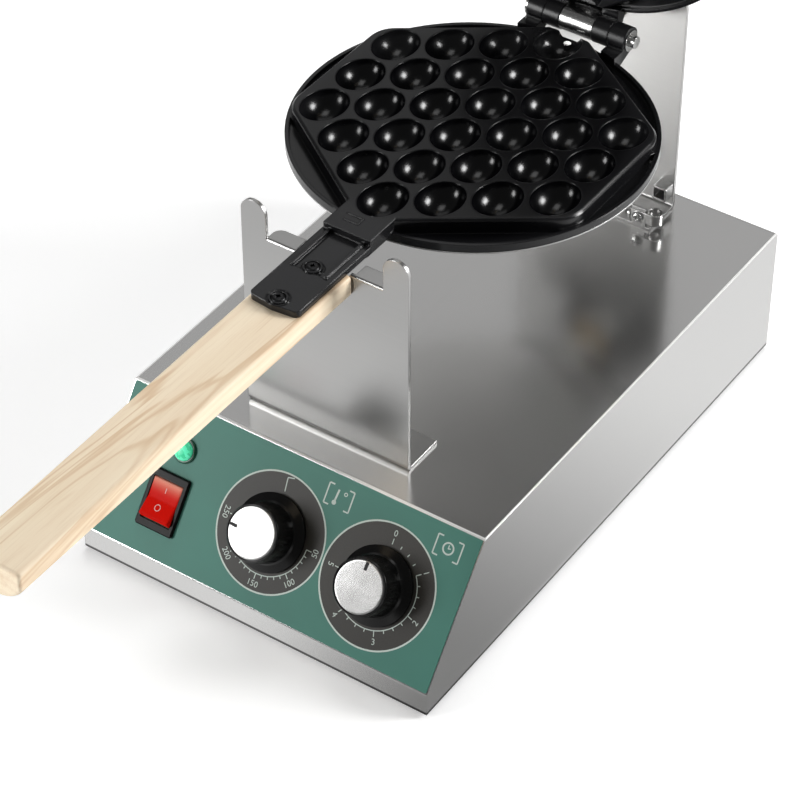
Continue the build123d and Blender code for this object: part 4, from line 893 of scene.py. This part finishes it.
class WAFFLE_OT_panel(Operator):
    """Prints the film: two dark dials, their scales and two small signs"""

    bl_idname = "waffle.panel"
    bl_label = "Print the panel"

    def execute(self, context):
        look = context.scene.waffle_panel
        self.film(look)
        self.ink = screen_ink("scale_ink", look.ink)
        self.dials(look)
        self.thermostat_scale(look)
        self.timer_scale(look)
        self.signs(look)
        return {"FINISHED"}

    def film(self, look):
        """The film itself, cut a little wider than its solid, up to the folds of the sheet."""
        across = reach("panel_overlay", panel_right)
        rise = reach("panel_overlay", panel_up)
        out = reach("panel_overlay", panel_out)
        half = reach("base_casing", panel_right)[1] - look.film_side_margin
        height = rise[1] - rise[0]
        radius = look.film_corner
        outline = []
        for x, y, first in ((half, height, 0), (-half, height, 90), (-half, 0, 180), (half, 0, 270)):
            centre = Vector((x - math.copysign(radius, x), y + (radius if y == 0 else -radius)))
            outline += [centre + Vector(on_circle(radius, first + turn)) for turn in range(0, 91, 15)]
        sheet = Print()
        sheet.shape(outline)
        sheet.thicken(-(out[1] - out[0] - skin))
        place = panel_matrix(panel_right * sum(across) / 2 + panel_up * rise[0] + panel_out * (out[1] + skin))
        material = printed_film("panel_print", look.film)
        piece = new_piece("panel_film", sheet.mesh, material, "base", place, False)
        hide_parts("panel_overlay")

    def on_film(self, mesh, name, centre, lift, material):
        """A layer of print on the film, centred on a point."""
        place = panel_point(centre.x, panel_rise(centre), lift + film_gap)
        return new_piece(name, mesh, material, "base", panel_matrix(place))

    def dials(self, look):
        """The two dark rings and the pale line round each."""
        ground = Finish("dial_ink", look.dial, 0.42)
        fleck = ground.noise(ground.place(), 1600.0, 2.0, 0.5)
        ground.put("Base Color", ground.mottle(fleck, look.dial, 0.85, 1.2))
        ground.put("Roughness", ground.levels(fleck, 0.34, 0.42))
        ground.put("Specular IOR Level", 0.25)
        for name, centre, radius in (
            ("thermostat_dial", thermostat_centre, look.thermostat_dial),
            ("timer_dial", timer_centre, look.timer_dial),
        ):
            ring = Print()
            ring.arc((0, 0), look.dial_bore, radius - look.dial_bore)
            self.on_film(ring.mesh, name, centre, dial_lift, ground.material)
            line = Print()
            line.arc((0, 0), radius - look.dial_line / 2, look.dial_line)
            self.on_film(line.mesh, name + "_line", centre, line_lift, self.ink)

    def ticks(self, print_, look, first, last, steps, long_every):
        """The ticks of a scale between two angles, with a long one every so many steps."""
        for step in range(steps + 1):
            angle = first + (last - first) * step / steps
            length = look.short_tick if step % long_every else look.long_tick
            start, end = (on_circle(look.scale_radius + out, angle) for out in (0, length))
            print_.bar(start, end, look.tick_width)

    def numbers(self, print_, look, radius, words):
        """Numbers on a circle, from (angle, number, turn)."""
        for angle, text, turn in words:
            print_.words(text, on_circle(radius, angle), look.number_height, turn)

    def thermostat_scale(self, look):
        """Half a turn from 50 to 250, and the bent mark at off."""
        scale = Print()
        scale.arc((0, 0), look.scale_radius - look.tick_width / 2, look.tick_width, -180, 0, 64)
        self.ticks(scale, look, 0, -180, 20, 5)
        foot, corner, tip, off_width = (-0.0003, 0.0228), (-0.0012, 0.0302), (0.0026, 0.0311), 0.0006
        scale.bar(foot, corner, off_width)
        scale.bar(corner, tip, off_width)
        self.numbers(
            scale, look, 0.0284,
            [(0, "50", 90), (-45, "100", 45), (-90, "150", 0), (-135, "200", -45), (-180, "250", -90)],
        )
        self.on_film(scale.mesh, "thermostat_scale", thermostat_centre, scale_lift, self.ink)

    def timer_scale(self, look):
        """Three quarters of a turn from 0 to 5."""
        scale = Print()
        scale.arc((0, 0), look.scale_radius - look.tick_width / 2, look.tick_width, -180, 36, 80)
        self.ticks(scale, look, 90, -180, 20, 4)
        self.numbers(
            scale, look, 0.0286,
            [(90, "0", 0), (36, "1", -54), (-18, "2", 72), (-72, "3", 18), (-126, "4", -36), (-180, "5", -90)],
        )
        self.on_film(scale.mesh, "timer_scale", timer_centre, scale_lift, self.ink)

    def brackets(self, print_, look, left, right, low, high):
        """A pair of square brackets."""
        width, foot = look.sign_line, 0.003
        for x, way in ((left, 1), (right, -1)):
            print_.bar((x, low), (x, high), width)
            for y in (low, high):
                print_.bar((x, y), (x + way * foot, y), width)

    def signs(self, look):
        """A thermometer and a clock, each between brackets, above their dials."""
        heat = Print()
        self.brackets(heat, look, -0.0076, 0.0077, -0.0055, 0.0055)
        heat.disc((-0.0019, -0.0034), 0.0013)
        heat.bar((-0.0018, -0.003), (-0.0012, 0.0038), 0.0011)
        heat.arc((0.0032, 0.0028), 0.0006, 0.0005, steps=24)
        self.on_film(heat.mesh, "heat_sign", panel_point(0.0263, 0.0723), sign_lift, self.ink)
        clock = Print()
        self.brackets(clock, look, -0.0076, 0.0074, -0.0053, 0.0053)
        clock.arc((0, 0), 0.0025, 0.0009, steps=48)
        clock.bar((0, -0.0003), (0, 0.0019), 0.0006)
        clock.bar((-0.0003, 0), (0.0014, 0.0003), 0.0006)
        self.on_film(clock.mesh, "clock_sign", panel_point(0.0931, 0.0723), sign_lift, self.ink)


class WAFFLE_OT_controls(Operator):
    """Puts spun caps with pointers on the knobs"""

    bl_idname = "waffle.controls"
    bl_label = "Fit the knobs' caps"

    def execute(self, context):
        look = context.scene.waffle_control
        black = moulded_plastic("knob_plastic", (0.0022, 0.0022, 0.0022), 0.22, 0.34)
        wear_nodes(black, "thermostat_knob", "timer_knob")
        metal = Finish("spun_cap", look.cap_metal, 0.24, 0.78)
        x, y, _ = metal.split(metal.coordinates.outputs["Object"])
        groove_pitch = 0.00022
        groove = metal.work("SINE", metal.work("MULTIPLY", metal.radius(x, y), 2 * math.pi / groove_pitch))
        metal.put("Roughness", metal.levels(groove, 0.2, 0.3, -1, 1))
        metal.emboss(groove, 0.000003, 0.5)
        ink = screen_ink("pointer_ink", (0.02, 0.02, 0.02))
        for name, centre, body, turn in (
            ("thermostat_cap", thermostat_centre, "thermostat_control", 180),
            ("timer_cap", timer_centre, "timer_control", 90),
        ):
            self.cap(name, centre, body, turn, look, metal.material, ink)
        return {"FINISHED"}

    def cap(self, name, centre, body, turn, look, metal, ink):
        """A turned disc with fine rings and a dark pointer."""
        seat, top = reach(name, panel_out)
        left, right = reach(name, panel_right)
        radius, height = (right - left) / 2 - look.cap_inset, top - seat
        bevel, shoulder, plain_rim, pointer_rise = 0.0005, 0.00015, 0.0007, 0.00012
        flat, ringed = radius - bevel, radius - plain_rim
        steps = int(ringed / (look.cap_pitch / 2))
        rings = [(0, height)]
        for step in range(1, steps):
            rings.append((ringed * step / steps, height - (look.cap_relief if step % 2 else 0)))
        rings += [
            (flat, height), (radius - shoulder, height - shoulder), (radius, height - bevel),
            (radius, 0), (0, 0),
        ]

        def on_axis(out):
            return panel_matrix(centre + panel_out * (out - centre.dot(panel_out)), turn)

        piece = new_piece(name + "_spun", turned(rings, 128), metal, body, on_axis(seat))
        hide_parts(name)
        pointer = Print()
        pointer.bar((flat - look.pointer_length, 0), (flat, 0), look.pointer_width)
        pointer.thicken(pointer_rise)
        new_piece(name + "_pointer", pointer.mesh, ink, body, on_axis(top - skin), False)


class WAFFLE_OT_switch(Operator):
    """Finishes the rocker switch and marks its two halves"""

    bl_idname = "waffle.switch"
    bl_label = "Fit the switch"

    def execute(self, context):
        look = context.scene.waffle_control
        wear_nodes(moulded_plastic("switch_plastic", (0.003, 0.0028, 0.0026), 0.3, 0.12), "switch_housing")
        wear_nodes(self.lit_red_with_painted_sheen(look), "power_rocker")
        ink = screen_ink("rocker_ink", (0.8, 0.5, 0.48))
        matrix = panel_matrix(rocker_centre)
        for name, rise, draw in (
            ("rocker_off_mark", -0.0036, lambda mark: mark.arc((-0.0006, 0), 0.0014, 0.00042, steps=48)),
            ("rocker_on_mark", 0.0062, lambda mark: mark.bar((0, -0.0014), (0, 0.0014), 0.00045)),
        ):
            mark = Print()
            draw(mark)
            bmesh.ops.translate(mark.mesh, verts=mark.mesh.verts, vec=(0, rise, 0))
            mark.lay("power_rocker", matrix, film_gap)
            new_piece(name, mark.mesh, ink, "rocker", matrix)
        return {"FINISHED"}

    def lit_red_with_painted_sheen(self, look):
        """Clear red plastic, lit from inside, with a painted reflection that pales it towards its upper end and
        a paler painted glow there.
        """
        lens = Finish("rocker_lens", look.rocker_red, 0.2)
        rise = lens.split(lens.place((1, 1, 1), (-math.atan2(panel_up.z, panel_up.y), 0, 0)))[1]
        middle = rocker_centre.dot(panel_up)
        # painted reflection: how far up the lens the pale sheen is painted
        upper = lens.work("POWER", lens.levels(rise, 0, 1, middle + 0.002, middle + 0.0125), 2.2)
        grain = lens.noise(lens.place(), 700.0, 2.0, 0.5)
        deep = lens.tint(lens.levels(grain, 0, 1), shade(look.rocker_red, 0.85), look.rocker_red)
        # painted reflection: the base colour pales towards the upper end
        lens.put("Base Color", lens.tint(lens.work("MULTIPLY", upper, 0.85), deep, (0.98, 0.6, 0.44)))
        lens.put("Roughness", lens.levels(upper, 0.3, 0.4))
        lens.put("Specular IOR Level", 0.03)
        # the switch's own glow, painted paler towards the upper end
        lens.put("Emission Color", lens.tint(upper, (0.5, 0.004, 0.002), (0.6, 0.12, 0.07)))
        lens.put("Emission Strength", 0.13)
        lens.soften(0.0022)
        lens.emboss(grain, 0.00002, 0.2)
        return lens.material


class WAFFLE_OT_lamp(Operator):
    """Fits the pilot lamp's cut lens, lit"""

    bl_idname = "waffle.lamp"
    bl_label = "Fit the pilot lamp"

    def execute(self, context):
        look = context.scene.waffle_control
        wear_nodes(moulded_plastic("lamp_plastic", (0.008, 0.07, 0.04), 0.25), "lamp_body")
        left, right = reach("lamp_lens", panel_right)
        low, high = reach("lamp_lens", panel_up)
        seat, top = reach("lamp_lens", panel_out)
        centre = panel_right * (left + right) / 2 + panel_up * (low + high) / 2 + panel_out * seat
        lens = Finish("lit_lens", look.lamp_green, 0.3)
        spark = lens.split(lens.cells(lens.place(), 520.0, "Color"))[0]
        glow = lens.tint(lens.levels(spark, 0, 1), shade(look.lamp_green, 0.85), (0.13, 0.84, 0.5))
        lens.put("Base Color", glow)
        lens.put("Emission Color", glow)
        lens.put("Emission Strength", 0.38)
        lens.put("Specular IOR Level", 0.3)
        lens.put("Coat Weight", 0.08)
        lens.put("Coat Roughness", 0.2)
        dome = self.cut_dome((right - left) / 2, top - seat, look.lens_facets)
        piece = new_piece("cut_lens", dome, lens.material, "base", panel_matrix(centre), False)
        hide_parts("lamp_lens")
        return {"FINISHED"}

    def cut_dome(self, radius, height, facets):
        """A dome of small pyramids over a short wall."""
        mesh = bmesh.new()
        wall = height * 0.4
        ranks = 5
        rows = []
        for rank in range(ranks + 1):
            share = rank / ranks
            r = radius * math.cos(share * math.pi / 2)
            z = wall + (height - wall) * math.sin(share * math.pi / 2)
            count = 1 if rank == ranks else facets
            phase = 180 / facets * (rank % 2)
            angles = [phase + 360 * k / facets for k in range(count)]
            rows.append([mesh.verts.new((*on_circle(r, angle), z)) for angle in angles])
        base = [mesh.verts.new((v.co.x, v.co.y, 0)) for v in rows[0]]
        for k in range(facets):
            after = (k + 1) % facets
            mesh.faces.new((base[k], base[after], rows[0][after], rows[0][k]))
        mesh.faces.new(list(reversed(base)))
        for rank in range(ranks):
            lower, upper = rows[rank], rows[rank + 1]
            if len(upper) == 1:
                for k in range(facets):
                    mesh.faces.new((lower[k], lower[(k + 1) % facets], upper[0]))
                continue
            for k in range(facets):
                after, before = (k + 1) % facets, (k - 1) % facets
                if rank % 2 == 0:
                    mesh.faces.new((lower[k], lower[after], upper[k]))
                    mesh.faces.new((upper[before], lower[k], upper[k]))
                else:
                    mesh.faces.new((lower[k], upper[after], upper[k]))
                    mesh.faces.new((lower[k], lower[after], upper[after]))
        return mesh


class WAFFLE_OT_stage(Operator):
    """Sets the floor, the lamps and the camera"""

    bl_idname = "waffle.stage"
    bl_label = "Set the stage"

    def execute(self, context):
        studio = context.scene.waffle_studio
        self.floor(studio)
        self.mirrored_floor(studio)
        self.surroundings(context, studio)
        self.lamp("overhead_lamp", Vector((-0.03, 0.15, 0.99)), 1.7, (0.62, 0.62), studio.overhead)
        self.lamp("front_lamp", Vector((-0.57, -0.77, 0.29)), 1.6, (0.5, 0.9), studio.front)
        self.lamp("rear_lamp", Vector((0.795, 0.443, 0.413)), 1.6, (0.5, 0.7), studio.rear)
        self.lamp("wall_lamp", Vector((-0.423, 0.622, 0.659)), 2.0, (1.6, 1.4), studio.wall)
        self.lamp("fill_lamp", Vector((-0.25, 0.45, 0.86)), 1.8, (1.2, 1.2), studio.fill).visible_glossy = False
        self.camera(context, studio)
        return {"FINISHED"}

    def level_square(self, name, half):
        """A flat square about the origin."""
        mesh = bmesh.new()
        bmesh.ops.create_grid(mesh, x_segments=2, y_segments=2, size=half)
        data = bpy.data.meshes.new(name)
        mesh.to_mesh(data)
        mesh.free()
        made = bpy.data.objects.new(name, data)
        bpy.context.scene.collection.objects.link(made)
        return made

    def floor(self, studio):
        """Pale paper, wide enough for low views."""
        floor = self.level_square("floor", 30)
        paper = Finish("floor_paper", studio.floor, 0.8)
        tooth = paper.noise(paper.place(), 300.0, 3.0, 0.5)
        paper.put("Base Color", paper.tint(tooth, shade(studio.floor, 0.99), shade(studio.floor, 1.01)))
        paper.put("Specular IOR Level", 0.2)
        paper.put("Emission Color", (1, 1, 1, 1))
        paper.put("Emission Strength", studio.floor_glow)
        wear(floor, paper.material)
        floor.visible_glossy = False

    def mirrored_floor(self, studio):
        """What polished faces mirror instead of the floor: a sweep that falls off at the front right."""
        sweep = self.level_square("mirrored_floor", 7)
        sweep.location.z = -0.001
        tone = Finish("sweep_tone", (0, 0, 0), 1.0)
        x, y, _ = tone.split(tone.place(shift=(-0.14, 0.19, 0)))
        distance = tone.radius(x, y)
        near = tone.levels(distance, 0, 1, 0.03, 0.16, True)
        ahead = tone.work("MULTIPLY", near, tone.levels(y, 0.5, 1, -0.1, -0.04))
        beside = tone.levels(distance, 0, 1, 0.05, 0.33, True)
        right = tone.levels(x, 0, 1, -0.03, -0.026)
        left = tone.work("SUBTRACT", 1.0, right)
        fall = tone.work("ADD", tone.work("MULTIPLY", beside, right), tone.work("MULTIPLY", ahead, left))
        dark, pale = studio.reflected_dark, studio.reflected_pale
        tone.put("Emission Color", tone.tint(fall, (dark,) * 3, (pale,) * 3))
        tone.put("Emission Strength", 1.0)
        tone.put("Specular IOR Level", 0.0)
        wear(sweep, tone.material)
        for kind in ("camera", "diffuse", "transmission", "volume_scatter", "shadow"):
            setattr(sweep, "visible_" + kind, False)

    def surroundings(self, context, studio):
        """Faint even light from all round."""
        world = bpy.data.worlds.new("studio")
        world.use_nodes = True
        ground = world.node_tree.nodes["Background"]
        ground.inputs["Color"].default_value = (1, 1, 1, 1)
        ground.inputs["Strength"].default_value = studio.ambient
        context.scene.world = world
        context.scene.view_settings.view_transform = "Standard"

    def lamp(self, name, direction, distance, size, power):
        """A rectangular lamp that looks at the middle of the machine."""
        data = bpy.data.lights.new(name, "AREA")
        data.shape = "RECTANGLE"
        data.size, data.size_y = size
        data.energy = power
        lamp = bpy.data.objects.new(name, data)
        target = Vector((0, 0, 0.12))
        lamp.location = target + direction.normalized() * distance
        lamp.rotation_euler = (-direction).to_track_quat("-Z", "Y").to_euler()
        bpy.context.scene.collection.objects.link(lamp)
        return lamp

    def camera(self, context, studio):
        """A long lens from the front right, well above."""
        data = bpy.data.cameras.new("camera")
        data.lens = studio.lens
        data.sensor_width = 36
        camera = bpy.data.objects.new("camera", data)
        around, above = math.radians(34.25), math.radians(41.22)
        back = Vector((math.sin(around) * math.cos(above), -math.cos(around) * math.cos(above), math.sin(above)))
        right = Vector((math.cos(around), math.sin(around), 0))
        made = Matrix((right, back.cross(right), back)).transposed().to_4x4()
        made.translation = (0.6948, -1.0583, 1.1414)
        camera.matrix_world = made
        context.scene.collection.objects.link(camera)
        context.scene.camera = camera


class WAFFLE_PT_sidebar(Panel):
    """The egg waffle iron's steps"""

    bl_idname = "WAFFLE_PT_sidebar"
    bl_label = "Egg waffle iron"
    bl_space_type = "VIEW_3D"
    bl_region_type = "UI"
    bl_category = "Waffle iron"

    def draw(self, context):
        layout = self.layout
        for group, settings in groups:
            box = layout.box()
            box.label(text=settings.bl_rna.name)
            for name in settings.__annotations__:
                box.prop(getattr(context.scene, group), name)
        for step in steps:
            layout.operator(step.bl_idname)


groups = (
    ("waffle_panel", PanelPrint),
    ("waffle_control", ControlFinish),
    ("waffle_metal", MetalFinish),
    ("waffle_wood", WoodFinish),
    ("waffle_studio", StudioLight),
)
steps = (
    WAFFLE_OT_moulds,
    WAFFLE_OT_sheet_steel,
    WAFFLE_OT_hardware,
    WAFFLE_OT_handles,
    WAFFLE_OT_panel,
    WAFFLE_OT_controls,
    WAFFLE_OT_switch,
    WAFFLE_OT_lamp,
    WAFFLE_OT_stage,
)


def register():
    for group, settings in groups:
        bpy.utils.register_class(settings)
        setattr(bpy.types.Scene, group, PointerProperty(type=settings))
    for step in steps:
        bpy.utils.register_class(step)
    bpy.utils.register_class(WAFFLE_PT_sidebar)


def unregister():
    bpy.utils.unregister_class(WAFFLE_PT_sidebar)
    for step in reversed(steps):
        bpy.utils.unregister_class(step)
    for group, settings in reversed(groups):
        delattr(bpy.types.Scene, group)
        bpy.utils.unregister_class(settings)


def main():
    """Builds everything."""
    register()
    for step in steps:
        family, name = step.bl_idname.split(".")
        getattr(getattr(bpy.ops, family), name)()


if __name__ == "__main__":
    main()
